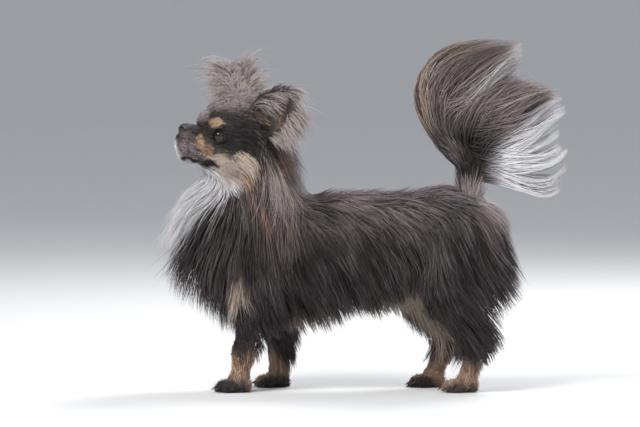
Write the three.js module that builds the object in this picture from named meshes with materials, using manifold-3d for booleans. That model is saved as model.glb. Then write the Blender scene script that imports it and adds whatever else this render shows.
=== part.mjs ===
// A long-haired chihuahua that stands in profile with its head up and its tail carried high, at life
// size, in millimetres. It faces -X, its left side is towards -Y, +Z is up, and it stands on Z = 0.
import * as THREE from "three";
import { mergeVertices } from "three/addons/utils/BufferGeometryUtils.js";
import Module from "manifold-3d";

const wasm = await Module();
wasm.setup();

const v = (x, y, z) => new THREE.Vector3(x, y, z);
const degrees = THREE.MathUtils.degToRad;
const mix = THREE.MathUtils.lerp;
const smooth = THREE.MathUtils.smoothstep;

// Driving dimensions
const GAP = 0.3; // between pieces that touch
const HEAD_TURN = degrees(8); // to the dog's left
const HALF_STANCE = 29; // from the midline to each foot
const EYE_RADIUS = 8.4;
const EAR_LENGTH = 43;
const EAR_WIDTH = 33;
const EAR_WALL = 1.3;
const LOCK_STEPS = 4;

// Flesh is a field: a function of a point that is negative inside, and about the distance outside.
// limb is a cone with round ends from a to b, made wider or narrower across the dog.
function limb(a, b, radiusA, radiusB, wide = 1) {
  const along = b.clone().sub(a);
  const squared = along.lengthSq();
  return (p) => {
    const q = p.clone().sub(a);
    const t = THREE.MathUtils.clamp(q.dot(along) / squared, 0, 1);
    q.addScaledVector(along, -t);
    q.y /= wide;
    return q.length() - mix(radiusA, radiusB, t);
  };
}

// Several fields joined, with fillets about as wide as soft.
const joined = (soft, ...fields) => (p) =>
  fields
    .map((field) => field(p))
    .reduce((a, b) => {
      const h = Math.max(soft - Math.abs(a - b), 0);
      return Math.min(a, b) - (h * h) / (4 * soft);
    });

// Where a ray from inside the field reaches the given level.
function skinAt(field, from, way, level = 0) {
  const p = from.clone();
  for (let i = 0; i < 90; i++) {
    const left = level - field(p);
    if (Math.abs(left) < 0.005) break;
    p.addScaledVector(way, left * 0.7);
  }
  return p;
}

function outward(field, p, reach = 0.5) {
  const slope = (x, y, z) => field(p.clone().add(v(x, y, z))) - field(p.clone().sub(v(x, y, z)));
  return v(slope(reach, 0, 0), slope(0, reach, 0), slope(0, 0, reach)).normalize();
}

// The body, from the breast to the rump. Its levels are half way down into the coat.
const ribs = limb(v(-88, 0, 127), v(-10, 0, 132), 45, 42, 0.86);
const breast = limb(v(-122, 0, 138), v(-92, 0, 117), 33, 39, 0.92);
const loin = limb(v(-10, 0, 135), v(70, 0, 142), 40, 38, 0.88);
const rump = limb(v(70, 0, 142), v(90, 0, 141), 38, 31, 0.95);
const torsoField = joined(16, ribs, breast, loin, rump);
const torsoSpine = [v(-120, 0, 134), v(-60, 0, 128), v(10, 0, 134), v(88, 0, 142)];

const neckField = joined(
  10,
  limb(v(-90, 0, 150), v(-105, 0, 214), 39, 29, 0.88),
  limb(v(-124, 0, 160), v(-126, 0, 194), 31, 21, 0.9),
);
const neckSpine = [v(-98, 0, 148), v(-106, 0, 180), v(-108, 0, 212)];

// The head is drawn straight ahead, and turned at the end.
const HEAD_PIVOT = v(-106, 0, 225);
const skull = limb(v(-121, 0, 235), v(-110, 0, 236), 30.5, 31, 0.94);
const cheek = (side) => limb(v(-134, side * 9, 217), v(-112, side * 13, 210), 14, 17);
const muzzle = limb(v(-140, 0, 223), v(-161, 0, 226.5), 15.5, 11.2, 1.05);
const lipBulge = (side) => limb(v(-146, side * 5.5, 215), v(-164, side * 4.5, 218.5), 9.2, 8.2);
const lowerJaw = limb(v(-153, 0, 208.5), v(-128, 0, 199), 6.5, 12, 1.15);
const browRidge = (side) => limb(v(-146, side * 9, 243), v(-136, side * 17, 241), 6, 6.5);
const headField = joined(
  7,
  skull,
  cheek(1),
  cheek(-1),
  muzzle,
  lipBulge(1),
  lipBulge(-1),
  lowerJaw,
  browRidge(1),
  browRidge(-1),
);
const headSpine = [v(-158, 0, 219), v(-140, 0, 222), v(-122, 0, 229), v(-106, 0, 232)];

// Each leg is its joints from the top down, with a radius at each. side is +1 for the dog's right.
const legs = {
  foreleg_left: {
    side: -1,
    joints: [[-96, 112], [-100, 82], [-112, 36], [-115, 14]],
    radii: [20, 14, 8.4, 8.2],
    paw: -121,
  },
  foreleg_right: {
    side: 1,
    joints: [[-86, 112], [-81, 82], [-79, 36], [-81, 14]],
    radii: [20, 14, 8.4, 8.2],
    paw: -87,
  },
  hindleg_left: {
    side: -1,
    joints: [[84, 136], [68, 92], [98, 47], [89, 14]],
    radii: [27, 19, 8.6, 8],
    paw: 82,
  },
  hindleg_right: {
    side: 1,
    joints: [[78, 136], [46, 91], [74, 45], [61, 14]],
    radii: [27, 19, 8.6, 8],
    paw: 54,
  },
};
for (const leg of Object.values(legs)) {
  const inset = [4, 1, 0, 0]; // the top of a leg stands closer to the midline
  leg.points = leg.joints.map(([x, z], i) => v(x, leg.side * (HALF_STANCE - inset[i]), z));
  const bones = leg.points
    .slice(1)
    .map((end, i) => limb(leg.points[i], end, leg.radii[i], leg.radii[i + 1], i ? 1 : 0.72));
  leg.field = joined(9, ...bones);
  const [hip, knee, ankle, foot] = leg.points;
  const between = (a, b, t) => a.clone().lerp(b, t);
  leg.spine = [hip, between(hip, knee, 0.7), between(knee, ankle, 0.5), between(ankle, foot, 0.3), foot];
}

const tailBone = new THREE.CatmullRomCurve3([
  v(90, 0, 168),
  v(92, 0, 190),
  v(89, 0, 204),
  v(77, 0, 219),
  v(66, 0, 233),
  v(58, 0, 249),
  v(56, 0, 266),
  v(61, 0, 282),
]);
const tailThick = (t) => mix(11.5, 3, Math.pow(t, 0.7));

// Closed meshes
function geometryOf(points, faces) {
  const geometry = new THREE.BufferGeometry();
  geometry.setAttribute("position", new THREE.Float32BufferAttribute(points.flatMap((p) => p.toArray()), 3));
  geometry.setIndex(faces.flat());
  return geometry;
}

function solid(geometry) {
  const bare = geometry.clone();
  bare.deleteAttribute("normal");
  bare.deleteAttribute("uv");
  const merged = mergeVertices(bare, 1e-4);
  const made = new wasm.Manifold(
    new wasm.Mesh({
      numProp: 3,
      vertProperties: merged.attributes.position.array,
      triVerts: new Uint32Array(merged.index.array),
    }),
  );
  return made;
}

// A tube of rings between two poles, closed at both ends. rings is a list of lists of points.
function skinOver(first, rings, last) {
  const sides = rings[0].length;
  const points = [first, ...rings.flat(), last];
  const faces = [];
  const at = (ring, side) => 1 + ring * sides + (side % sides);
  for (let s = 0; s < sides; s++) {
    faces.push([0, at(0, s + 1), at(0, s)]);
    faces.push([points.length - 1, at(rings.length - 1, s), at(rings.length - 1, s + 1)]);
    for (let r = 0; r + 1 < rings.length; r++) {
      faces.push([at(r, s), at(r, s + 1), at(r + 1, s + 1)]);
      faces.push([at(r, s), at(r + 1, s + 1), at(r + 1, s)]);
    }
  }
  return geometryOf(points, faces);
}

// Flesh round a spine: rays leave the spine square to it, and lean outward in a fan at each end.
function wrapped(field, spinePoints, { rings, sides, ends }, level = 0) {
  const spine = new THREE.CatmullRomCurve3(spinePoints);
  const across = v(0, 1, 0);
  const ring = (t, lean) => {
    const from = spine.getPoint(t);
    const along = spine.getTangent(t);
    const up = across.clone().cross(along).normalize();
    return Array.from({ length: sides }, (_, s) => {
      const turn = (s / sides) * 2 * Math.PI;
      const way = up.clone().multiplyScalar(Math.cos(turn) * Math.cos(lean));
      way.addScaledVector(across, Math.sin(turn) * Math.cos(lean));
      way.addScaledVector(along, Math.sin(lean));
      return skinAt(field, from, way.normalize(), level);
    });
  };
  const list = [];
  for (let i = 1; i < ends; i++) list.push(ring(0, -(Math.PI / 2) * (1 - i / ends)));
  for (let i = 0; i <= rings; i++) list.push(ring(i / rings, 0));
  for (let i = 1; i < ends; i++) list.push(ring(1, ((Math.PI / 2) * i) / ends));
  const pole = (t, sign) =>
    skinAt(field, spine.getPoint(t), spine.getTangent(t).multiplyScalar(sign), level);
  return skinOver(pole(0, -1), list, pole(1, 1));
}

function tube(points, radius, sides = 6, steps = 10) {
  const section = new THREE.Shape(
    Array.from({ length: sides }, (_, i) => {
      const turn = (i / sides) * 2 * Math.PI;
      return new THREE.Vector2(Math.cos(turn) * radius, Math.sin(turn) * radius);
    }),
  );
  const extrudePath = new THREE.CatmullRomCurve3(points);
  return new THREE.ExtrudeGeometry(section, { steps, extrudePath, bevelEnabled: false });
}

function ball(centre, radii, [wide, high] = [12, 8], turn = new THREE.Matrix4()) {
  const geometry = new THREE.SphereGeometry(1, wide, high);
  geometry.scale(...radii);
  geometry.applyMatrix4(turn);
  return geometry.translate(...centre.toArray());
}

// Locks of hair. A lock is flat below and ridged above, widest a third of the way down, and ends in
// a point. grow makes the larger copy that clears its neighbours.
const lockShape = (t) => (t < 0.3 ? mix(0.72, 1, t / 0.3) : Math.pow(1 - (t - 0.3) / 0.7, 0.75));

function lock(path, up, width, thick, grow = 0) {
  const curve = new THREE.CatmullRomCurve3(path);
  const steps = LOCK_STEPS;
  const rings = [];
  for (let i = 0; i < steps; i++) {
    const t = i / steps;
    const along = curve.getTangent(t);
    const p = curve.getPoint(t);
    const side = along.clone().cross(up(p)).normalize();
    const high = side.clone().cross(along).normalize();
    if (i === 0) p.addScaledVector(along, -2 * grow);
    const half = (width / 2) * lockShape(t) + 3 * grow;
    const rise = thick * mix(0.6, 1, lockShape(t)) + 3 * grow;
    p.addScaledVector(high, -1.5 * grow);
    rings.push([
      p.clone().addScaledVector(side, half),
      p.clone().addScaledVector(high, rise),
      p.clone().addScaledVector(side, -half),
    ]);
  }
  const tip = curve.getPoint(1).addScaledVector(curve.getTangent(1), 2 * grow);
  const points = [...rings.flat(), tip];
  const faces = [[0, 1, 2]];
  for (let s = 0; s < 3; s++) {
    const next = (s + 1) % 3;
    for (let r = 0; r + 1 < steps; r++) {
      faces.push([r * 3 + s, (r + 1) * 3 + next, r * 3 + next]);
      faces.push([r * 3 + s, (r + 1) * 3 + s, (r + 1) * 3 + next]);
    }
    faces.push([(steps - 1) * 3 + s, steps * 3, (steps - 1) * 3 + next]);
  }
  return solid(geometryOf(points, faces));
}

// The way the coat lies, as unit vectors for the dog's right side: back, outward, up.
const LIE = {
  bib: v(-0.74, 0.2, -0.64),
  breast: v(-0.3, 0.1, -0.95),
  shoulder: v(0.1, 0.08, -0.99),
  flank: v(0.55, 0.05, -0.83),
  back: v(0.93, 0.12, -0.3),
  breech: v(0.42, 0.08, -0.9),
};

function lieAt(p) {
  const way = LIE.bib.clone();
  way.lerp(LIE.shoulder, smooth(p.x, -138, -100));
  way.lerp(LIE.flank, smooth(p.x, -80, -30));
  way.lerp(LIE.breech, smooth(p.x, 60, 110));
  way.lerp(LIE.back, smooth(p.z, 148, 176) * smooth(p.x, -78, -48));
  way.lerp(LIE.breast, smooth(-p.z, -160, -115) * smooth(-p.x, 80, 110));
  way.y *= Math.sign(p.y) || 0;
  return way.normalize();
}

// A path that leaves the skin at root, goes along the coat, and stands depth clear of it at its tip.
function combed(field, root, lie, length, depth, sink = 5) {
  const path = [root.clone().addScaledVector(outward(field, root), -sink)];
  const p = root.clone();
  for (let i = 1; i <= LOCK_STEPS; i++) {
    const out = outward(field, p);
    const way = lie(p);
    way.addScaledVector(out, Math.max(0, -way.dot(out)));
    p.addScaledVector(way.normalize(), length / LOCK_STEPS);
    const want = depth * Math.pow(i / LOCK_STEPS, 0.7);
    const short = want - field(p);
    if (short > 0) p.addScaledVector(outward(field, p), short);
    path.push(p.clone());
  }
  return path;
}

// Seeded random numbers, from -1 to 1.
let seed = 7;
const random = () => {
  seed = (seed * 16807) % 2147483647;
  return (seed / 2147483647) * 2 - 1;
};

// A node is its core and its locks, each made twice: as it is, and a little larger, to cut others.
class Node {
  constructor(name, make, look) {
    this.name = name;
    this.look = look;
    this.core = make(0);
    this.coreClear = make(GAP);
    this.locks = [];
    this.locksClear = [];
  }
  grow(path, up, width, thick) {
    this.locks.push(lock(path, up, width, thick));
    this.locksClear.push(lock(path, up, width, thick, GAP));
  }
  whole() {
    return wasm.Manifold.union([this.core, ...this.locks]);
  }
  clear() {
    return wasm.Manifold.union([this.coreClear, ...this.locksClear]);
  }
}

// Head: everything on it is drawn straight ahead and then turned about the neck.
const headTurn = new THREE.Matrix4()
  .makeTranslation(...HEAD_PIVOT.toArray())
  .multiply(new THREE.Matrix4().makeRotationZ(HEAD_TURN))
  .multiply(new THREE.Matrix4().makeTranslation(...HEAD_PIVOT.clone().negate().toArray()));
const turned = (geometry) => solid(geometry.clone().applyMatrix4(headTurn));
const turnedPoint = (p) => p.clone().applyMatrix4(headTurn);
const turnedBack = headTurn.clone().invert();
const turnedHeadField = (p) => headField(p.clone().applyMatrix4(turnedBack));

// An eye looks forward, out and a little up. Its frame is across, up and look.
function eyeFrame(side) {
  const look = v(-0.62, side * 0.77, 0.16).normalize();
  const across = v(0, 0, 1).cross(look).normalize();
  const up = look.clone().cross(across);
  return { centre: v(-133.6, side * 17, 228.8), look, across, up };
}

function eyeball(side, grow) {
  const { centre, look, across, up } = eyeFrame(side);
  const turn = new THREE.Matrix4().makeBasis(across, up, look);
  const r = EYE_RADIUS + grow;
  const globe = turned(ball(centre, [r, r, r], [10, 8], turn));
  const corneaAt = centre.clone().addScaledVector(look, EYE_RADIUS * 0.42);
  const cornea = ball(corneaAt, [5 + grow, 5 + grow, 5.3 + grow], [10, 6], turn);
  return globe.add(turned(cornea));
}

// The opening between the lids, and the rim of the lids round it, thicker above than below.
const LID = { forward: 5.4, across: 6.9, up: 5.9 };

function eyeOpening(side) {
  const { centre, look, across, up } = eyeFrame(side);
  const turn = new THREE.Matrix4().makeBasis(across, up, look);
  const at = centre.clone().addScaledVector(look, EYE_RADIUS + 2);
  return turned(ball(at, [LID.across, LID.up, EYE_RADIUS], [12, 6], turn));
}

function eyelids(side, grow) {
  const { centre, look, across, up } = eyeFrame(side);
  const steps = 12;
  const sides = 4;
  const points = [];
  const faces = [];
  for (let i = 0; i < steps; i++) {
    const turn = (i / steps) * 2 * Math.PI;
    const spoke = across.clone().multiplyScalar(Math.cos(turn) * LID.across);
    spoke.addScaledVector(up, Math.sin(turn) * LID.up);
    const middle = centre.clone().addScaledVector(look, LID.forward).add(spoke);
    const thick = 1.5 + 0.5 * Math.sin(turn) + grow;
    spoke.normalize();
    for (let j = 0; j < sides; j++) {
      const round = (j / sides) * 2 * Math.PI;
      const p = middle.clone().addScaledVector(spoke, Math.cos(round) * thick);
      points.push(p.addScaledVector(look, Math.sin(round) * thick));
      const a = i * sides + j;
      const b = i * sides + ((j + 1) % sides);
      const c = ((i + 1) % steps) * sides + j;
      const d = ((i + 1) % steps) * sides + ((j + 1) % sides);
      faces.push([a, c, d], [a, d, b]);
    }
  }
  return turned(geometryOf(points, faces));
}

// The line of the mouth runs from corner to corner round the front of the muzzle.
const MOUTH = [[-144, 15, 201.5], [-150, 13, 204.5], [-157, 10, 208], [-164, 6.5, 210.5]];

function mouthLine(lift, depth) {
  const onSkin = ([x, y, z], side) => {
    const from = v(x + 5, 0, z + 3);
    const p = skinAt(headField, from, v(x, side * y, z).sub(from).normalize(), -depth);
    return p.add(v(0, 0, lift));
  };
  const front = skinAt(headField, v(-158, 0, 213), v(-1, 0, -0.05).normalize(), -depth);
  return [
    ...MOUTH.map((p) => onSkin(p, 1)),
    front.add(v(0, 0, lift)),
    ...MOUTH.map((p) => onSkin(p, -1)).reverse(),
  ];
}

function headCore(grow) {
  const face = turned(wrapped(headField, headSpine, { rings: 9, sides: 16, ends: 4 }, grow));
  const openings = wasm.Manifold.union([eyeOpening(1), eyeOpening(-1)]);
  const lips = [
    turned(tube(mouthLine(1.9, 1), 1.9 + grow, 5, 10)),
    turned(tube(mouthLine(-1.6, 1.1), 1.7 + grow, 5, 10)),
  ];
  const whole = wasm.Manifold.union([
    face.subtract(openings),
    eyelids(1, grow),
    eyelids(-1, grow),
    ...lips,
  ]);
  if (grow) return whole;
  const philtrum = turned(tube([v(-173.5, 0, 229), v(-173.5, 0, 220), v(-172, 0, 213)], 0.7, 5, 4));
  return whole.subtract(turned(tube(mouthLine(0, 0.2), 0.9, 4, 10))).subtract(philtrum);
}

// The leather of the nose, with a round nostril and a slit behind it on each side.
const NOSE = v(-164.2, 0, 235.2);

function nose(grow) {
  const leather = ball(NOSE, [6.6 + grow, 7.4 + grow, 5.2 + grow], [10, 7]);
  const bridge = ball(NOSE.clone().add(v(5, 0, 0.8)), [7 + grow, 5.6 + grow, 3.6 + grow], [8, 6]);
  const whole = turned(leather).add(turned(bridge));
  if (grow) return whole;
  const holes = [1, -1].flatMap((side) => [
    turned(ball(NOSE.clone().add(v(-5.2, side * 3.4, 0)), [3, 1.7, 1.8], [6, 4])),
    turned(ball(NOSE.clone().add(v(-2, side * 6.8, -1.6)), [3.4, 1.5, 0.9], [6, 4])),
  ]);
  return whole.subtract(wasm.Manifold.union(holes));
}

// An ear is a leaf cupped towards the side it faces, with a wall of one thickness.
const ears = {
  ear_left: { side: -1, base: v(-94, -22, 244), tip: v(-77, -52, 266), facing: v(-0.75, -0.61, -0.23) },
  ear_right: { side: 1, base: v(-103, 18, 256), tip: v(-117.5, 37, 293), facing: v(-0.72, 0.62, 0.3) },
};
for (const ear of Object.values(ears)) {
  ear.along = ear.tip.clone().sub(ear.base).normalize();
  ear.across = ear.along.clone().cross(ear.facing).normalize();
  ear.out = ear.across.clone().cross(ear.along).normalize();
}

// t runs from the root to the tip and s from edge to edge, both a little past 1 on a grown copy.
function earPoint(ear, t, s) {
  const near = THREE.MathUtils.clamp(t, 0, 0.995);
  const half = (EAR_WIDTH / 2) * (0.9 + 0.45 * t) * Math.pow(1 - Math.pow(near, 2.4), 0.8);
  const p = ear.base.clone().addScaledVector(ear.along, EAR_LENGTH * t);
  return p.addScaledVector(ear.across, half * s).addScaledVector(ear.out, mix(13, 3, t) * s * s);
}

function earNormal(ear, t, s) {
  const near = Math.min(t, 0.9);
  const across = earPoint(ear, near, s + 0.01).sub(earPoint(ear, near, s - 0.01));
  const down = earPoint(ear, near + 0.01, s).sub(earPoint(ear, near - 0.01, s));
  const normal = across.cross(down).normalize();
  return normal.multiplyScalar(Math.sign(normal.dot(ear.out)));
}

function earShell(ear, grow) {
  const [rows, columns] = [8, 5];
  const edge = 1 + grow / 6;
  const points = [];
  for (const behind of [-grow, EAR_WALL + grow]) {
    for (let i = 0; i < rows; i++) {
      for (let j = 0; j < columns; j++) {
        const t = mix(-0.16, 0.995, i / (rows - 1));
        const s = edge * ((j / (columns - 1)) * 2 - 1);
        const p = earPoint(ear, t, s).addScaledVector(earNormal(ear, t, s), -behind);
        points.push(p.addScaledVector(ear.along, t > 0.9 ? 3 * grow : 0));
      }
    }
  }
  const at = (layer, i, j) => layer * rows * columns + i * columns + j;
  const faces = [];
  const quad = (a, b, c, d) => faces.push([a, b, c], [a, c, d]);
  for (let i = 0; i + 1 < rows; i++) {
    for (let j = 0; j + 1 < columns; j++) {
      quad(at(0, i, j), at(0, i, j + 1), at(0, i + 1, j + 1), at(0, i + 1, j));
      quad(at(1, i, j), at(1, i + 1, j), at(1, i + 1, j + 1), at(1, i, j + 1));
    }
    quad(at(0, i, 0), at(0, i + 1, 0), at(1, i + 1, 0), at(1, i, 0));
    quad(at(0, i, columns - 1), at(1, i, columns - 1), at(1, i + 1, columns - 1), at(0, i + 1, columns - 1));
  }
  for (let j = 0; j + 1 < columns; j++) {
    quad(at(0, 0, j), at(1, 0, j), at(1, 0, j + 1), at(0, 0, j + 1));
    quad(at(0, rows - 1, j), at(0, rows - 1, j + 1), at(1, rows - 1, j + 1), at(1, rows - 1, j));
  }
  return turned(geometryOf(points, faces));
}

// A paw: four toes with claws in front of a pad, cut flat where it stands.
const floor = solid(new THREE.BoxGeometry(600, 400, 40).translate(0, 0, -20));

function paw({ side, paw: x, points }, grow) {
  const y = side * HALF_STANCE;
  const ankle = points[3];
  const pieces = [
    ball(v(x + 6, y, 6), [10.5 + grow, 9 + grow, 7 + grow], [7, 4]),
    ball(v(ankle.x - 1, y, 11), [8.6 + grow, 8 + grow, 7 + grow], [6, 4]),
  ];
  for (const [toe, reach] of [[-1.5, 3], [-0.5, 6.5], [0.5, 6.5], [1.5, 3]]) {
    const at = v(x - reach, y + toe * 5.6, 5);
    pieces.push(ball(at, [8.5 + grow, 3.9 + grow, 5.9 + grow], [6, 4]));
    const claw = new THREE.ConeGeometry(1.5 + grow, 8 + grow, 3).rotateZ(Math.PI / 2).rotateY(-0.42);
    pieces.push(claw.translate(at.x - 9.5, at.y, at.z - 0.6));
  }
  return wasm.Manifold.union(pieces.map((piece) => solid(piece))).subtract(floor);
}

const fur = (color) => new THREE.MeshStandardMaterial({ color, roughness: 0.85, metalness: 0 });
const looks = {
  dark: fur(0x3d3331),
  ruff: fur(0x5a4d4a),
  plume: fur(0x8f7f7a),
  tan: fur(0xb08560),
  ear: fur(0x6e5b55),
  nose: new THREE.MeshStandardMaterial({ color: 0x2b2625, roughness: 0.45, metalness: 0 }),
  eye: new THREE.MeshStandardMaterial({ color: 0x14100e, roughness: 0.08, metalness: 0 }),
};

const eyes = ["eye_left", "eye_right"].map(
  (name, i) => new Node(name, (g) => eyeball(i * 2 - 1, g), looks.eye),
);
const noseNode = new Node("nose", nose, looks.nose);
const head = new Node("head", headCore, looks.dark);
const earNodes = Object.entries(ears).map(
  ([name, ear]) => new Node(name, (g) => earShell(ear, g), looks.ear),
);
const paws = Object.entries(legs).map(
  ([name, leg]) => new Node(name.replace("leg", "paw"), (g) => paw(leg, g), looks.tan),
);
const legNodes = Object.entries(legs).map(([name, leg]) => {
  const make = (g) => solid(wrapped(leg.field, leg.spine, { rings: 7, sides: 8, ends: 3 }, g));
  return new Node(name, make, looks.dark);
});
const neck = new Node(
  "neck",
  (g) => solid(wrapped(neckField, neckSpine, { rings: 6, sides: 14, ends: 3 }, g)),
  looks.ruff,
);
const torso = new Node(
  "torso",
  (g) => solid(wrapped(torsoField, torsoSpine, { rings: 10, sides: 16, ends: 4 }, g)),
  looks.dark,
);

function tailCore(grow) {
  const [rings, sides] = [11, 6];
  const list = [];
  for (let i = 0; i <= rings; i++) {
    const t = i / rings;
    const along = tailBone.getTangent(t);
    const up = v(0, 1, 0).cross(along).normalize();
    const r = tailThick(t) + grow;
    list.push(
      Array.from({ length: sides }, (_, s) => {
        const turn = (s / sides) * 2 * Math.PI;
        const p = tailBone.getPoint(t).addScaledVector(up, Math.cos(turn) * r);
        return p.add(v(0, Math.sin(turn) * r, 0));
      }),
    );
  }
  const pole = (t, sign) => tailBone.getPoint(t).addScaledVector(tailBone.getTangent(t), sign * (3 + grow));
  return solid(skinOver(pole(0, -1), list, pole(1, 1)));
}
const tail = new Node("tail", tailCore, looks.plume);

// The plume: hair leaves the tail along it, and the air carries it back into a fan. Each row is one
// strand, x and z, from the forward edge of the fan round to its lower edge.
const STRANDS = [
  [[76, 209], [51, 231], [40, 261], [51, 292], [76, 310], [110, 317]],
  [[78, 211], [58, 243], [65, 279], [96, 306], [138, 314]],
  [[79, 214], [74, 238], [92, 265], [119, 297], [142, 313]],
  [[81, 214], [92, 247], [114, 272], [140, 285]],
  [[85, 214], [110, 238], [137, 256], [159, 269], [178, 270]],
  [[87, 213], [114, 225], [146, 238], [162, 252], [180, 262]],
  [[90, 211], [119, 211], [146, 216], [163, 223], [180, 234]],
  [[92, 207], [123, 202], [155, 202], [173, 208], [184, 219]],
  [[94, 204], [123, 193], [146, 181], [165, 180], [180, 196]],
  [[95, 202], [119, 191], [137, 182], [157, 174], [170, 176]],
].map((strand) => new THREE.CatmullRomCurve3(strand.map(([x, z]) => v(x, 0, z))));

// u counts the strands, and layer is -1 at the left face of the fan and 1 at its right face.
function plumeLock(u, layer) {
  const last = STRANDS.length - 1;
  const i = Math.min(Math.floor(u), last - 1);
  const along = (t) => STRANDS[i].getPoint(t).lerp(STRANDS[i + 1].getPoint(t), u - i);
  const forward = 1 - u / last;
  const joins = mix(0.04, 0.3, forward);
  const aside = tailBone.getPoint(mix(0.26, 0.85, forward)).sub(along(joins));
  const path = [0, 0.22, 0.5, 0.76, 1].map((s) => {
    const p = along(mix(joins, 1, s)).addScaledVector(aside, (1 - s) ** 2);
    return p.add(v(0, layer * (15 * smooth(s, 0, 0.4) - 6 * smooth(s, 0.4, 1)) + 0.35, 0));
  });
  path[4].y += 2 * random();
  tail.grow(path, () => v(0.04, layer || 1, 0.03), 19.6, 3.4);
}
for (let row = 0; row < 10; row++) {
  for (const layer of [-1, 0, 1]) {
    const u = row + (layer ? 0 : 0.5);
    if (u <= STRANDS.length - 1) plumeLock(u, layer);
  }
}

// Coat: tiers of locks round a spine. Each tier is a place along the spine and a list of turns from
// the top of the dog, in degrees.
const limbsField = joined(9, ...Object.values(legs).map((leg) => leg.field));
const bodyField = joined(9, torsoField, neckField, limbsField);

// One lock over the body, and a ring of them on a rounded end: ways lists degrees round from the
// dog's rear, and degrees up.
function hang(node, root, length, depth, width, over = bodyField) {
  const path = combed(over, root, lieAt, length * (1 + 0.12 * random()), depth);
  node.grow(path, (p) => outward(over, p), width, 3);
}

function endLocks(node, field, centre, ways, length, depth, width) {
  for (const [round, rise] of ways) {
    for (const side of round % 180 ? [-1, 1] : [1]) {
      const [a, b] = [degrees(round), degrees(rise + 4 * random())];
      const way = v(Math.cos(a) * Math.cos(b), side * Math.sin(a) * Math.cos(b), Math.sin(b));
      const root = skinAt(field, centre, way);
      if (limbsField(root) > 5) hang(node, root, length, depth, width);
    }
  }
}

function coat(node, field, spinePoints, tiers) {
  const { places, turns, length, depth, width } = tiers;
  const { skip = () => false, over = bodyField, sides = [-1, 1] } = tiers;
  const spine = new THREE.CatmullRomCurve3(spinePoints);
  places.forEach((place, row) => {
    for (const angle of turns) {
      for (const side of angle % 180 ? sides : [1]) {
        const turn = degrees(angle + (row % 2 ? 9 : -9) * (angle % 180 ? 1 : 0) + 3 * random());
        const along = spine.getTangent(place);
        const up = v(0, 1, 0).cross(along).normalize().negate();
        const way = up.multiplyScalar(Math.cos(turn)).add(v(0, side * Math.sin(turn), 0)).normalize();
        const root = skinAt(field, spine.getPoint(place), way);
        if (skip(root)) continue;
        hang(node, root, length(root), depth(root), width, over);
      }
    }
  });
}

const even = (count, from, to) => Array.from({ length: count }, (_, i) => mix(from, to, i / (count - 1)));

coat(torso, torsoField, torsoSpine, {
  places: even(9, 0.06, 0.95),
  turns: [0, 44, 88, 132],
  length: (p) => mix(34, 42, smooth(-p.z, -150, -100)),
  depth: (p) => mix(9, 11, smooth(-p.z, -165, -110)),
  width: 17,
  skip: (p) => limbsField(p) < 11 || (p.x < -58 && p.z > 112),
});
endLocks(torso, torsoField, v(88, 0, 142), [[0, 18], [38, 10], [0, -18], [34, -28], [0, -50]], 46, 13, 18);
endLocks(torso, torsoField, v(-118, 0, 128), [[180, -20], [145, -26], [180, -52], [125, -48]], 42, 16, 18);
coat(neck, neckField, neckSpine, {
  places: [0.16, 0.4, 0.64, 0.86],
  turns: [0, 36, 72, 108, 144, 180],
  length: (p) => mix(54, 46, smooth(p.x, -120, -70)),
  depth: (p) => mix(15, 10, smooth(p.x, -145, -115)),
  width: 17,
});
for (const node of legNodes) {
  const leg = legs[node.name];
  const hind = node.name.startsWith("hind");
  coat(node, leg.field, leg.spine, {
    places: hind ? [0.24, 0.38, 0.52] : [0.45, 0.58],
    turns: hind ? [0, 42] : [0],
    length: () => (hind ? 42 : 20),
    depth: () => (hind ? 12 : 5),
    width: hind ? 13 : 9,
    over: leg.field,
  });
  coat(node, leg.field, leg.spine, {
    places: hind ? [0.04, 0.2] : [0.12, 0.3],
    turns: hind ? [50, 95, 140] : [70, 125],
    length: () => 34,
    depth: () => 6,
    width: 15,
    over: leg.field,
    sides: [leg.side],
  });
}

// Tufts behind the cheeks lie over the ruff.
const faceField = joined(6, turnedHeadField, neckField);
for (const side of [-1, 1]) {
  for (const [x, z, length] of [[-122, 210, 24], [-108, 212, 30], [-114, 200, 28]]) {
    const centre = turnedPoint(v(x, 0, z));
    const root = skinAt(turnedHeadField, centre, v(0, side, 0));
    const path = combed(faceField, root, () => v(0.55, side * 0.2, -0.8), length, 6, 4);
    head.grow(path, (p) => outward(faceField, p), 10, 2.6);
  }
}

// The fringe of an ear leaves its rim and is carried back by the air, or stands up on the right one.
const fringe = {
  ear_left: {
    blow: v(0.7, -0.3, -0.7),
    length: 30,
    spots: [[0.45, 1], [0.68, 1], [0.9, 0.8], [0.92, -0.6], [0.62, -1]],
  },
  ear_right: {
    blow: v(0.12, 0.05, 0.3),
    length: 20,
    spots: [[0.35, 1], [0.7, 1], [0.35, -1], [0.7, -1]],
  },
};
for (const node of earNodes) {
  const ear = ears[node.name];
  const { blow, length, spots } = fringe[node.name];
  for (const [t, s] of spots) {
    const normal = earNormal(ear, t, s * 0.8);
    const root = earPoint(ear, t * 0.9, s * 0.72).addScaledVector(normal, -EAR_WALL * 0.9);
    const rim = earPoint(ear, t, s * 1.02).addScaledVector(normal, -EAR_WALL * 0.5);
    const way = ear.along.clone().addScaledVector(ear.across, s * 0.5).addScaledVector(blow, 0.8).normalize();
    const middle = rim.clone().addScaledVector(way, length * 0.45);
    const tip = middle.clone().addScaledVector(way.lerp(blow, 0.6).normalize(), length * 0.55);
    node.grow([root, rim, middle, tip].map(turnedPoint), () => normal, 7, 1.6);
  }
}

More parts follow.
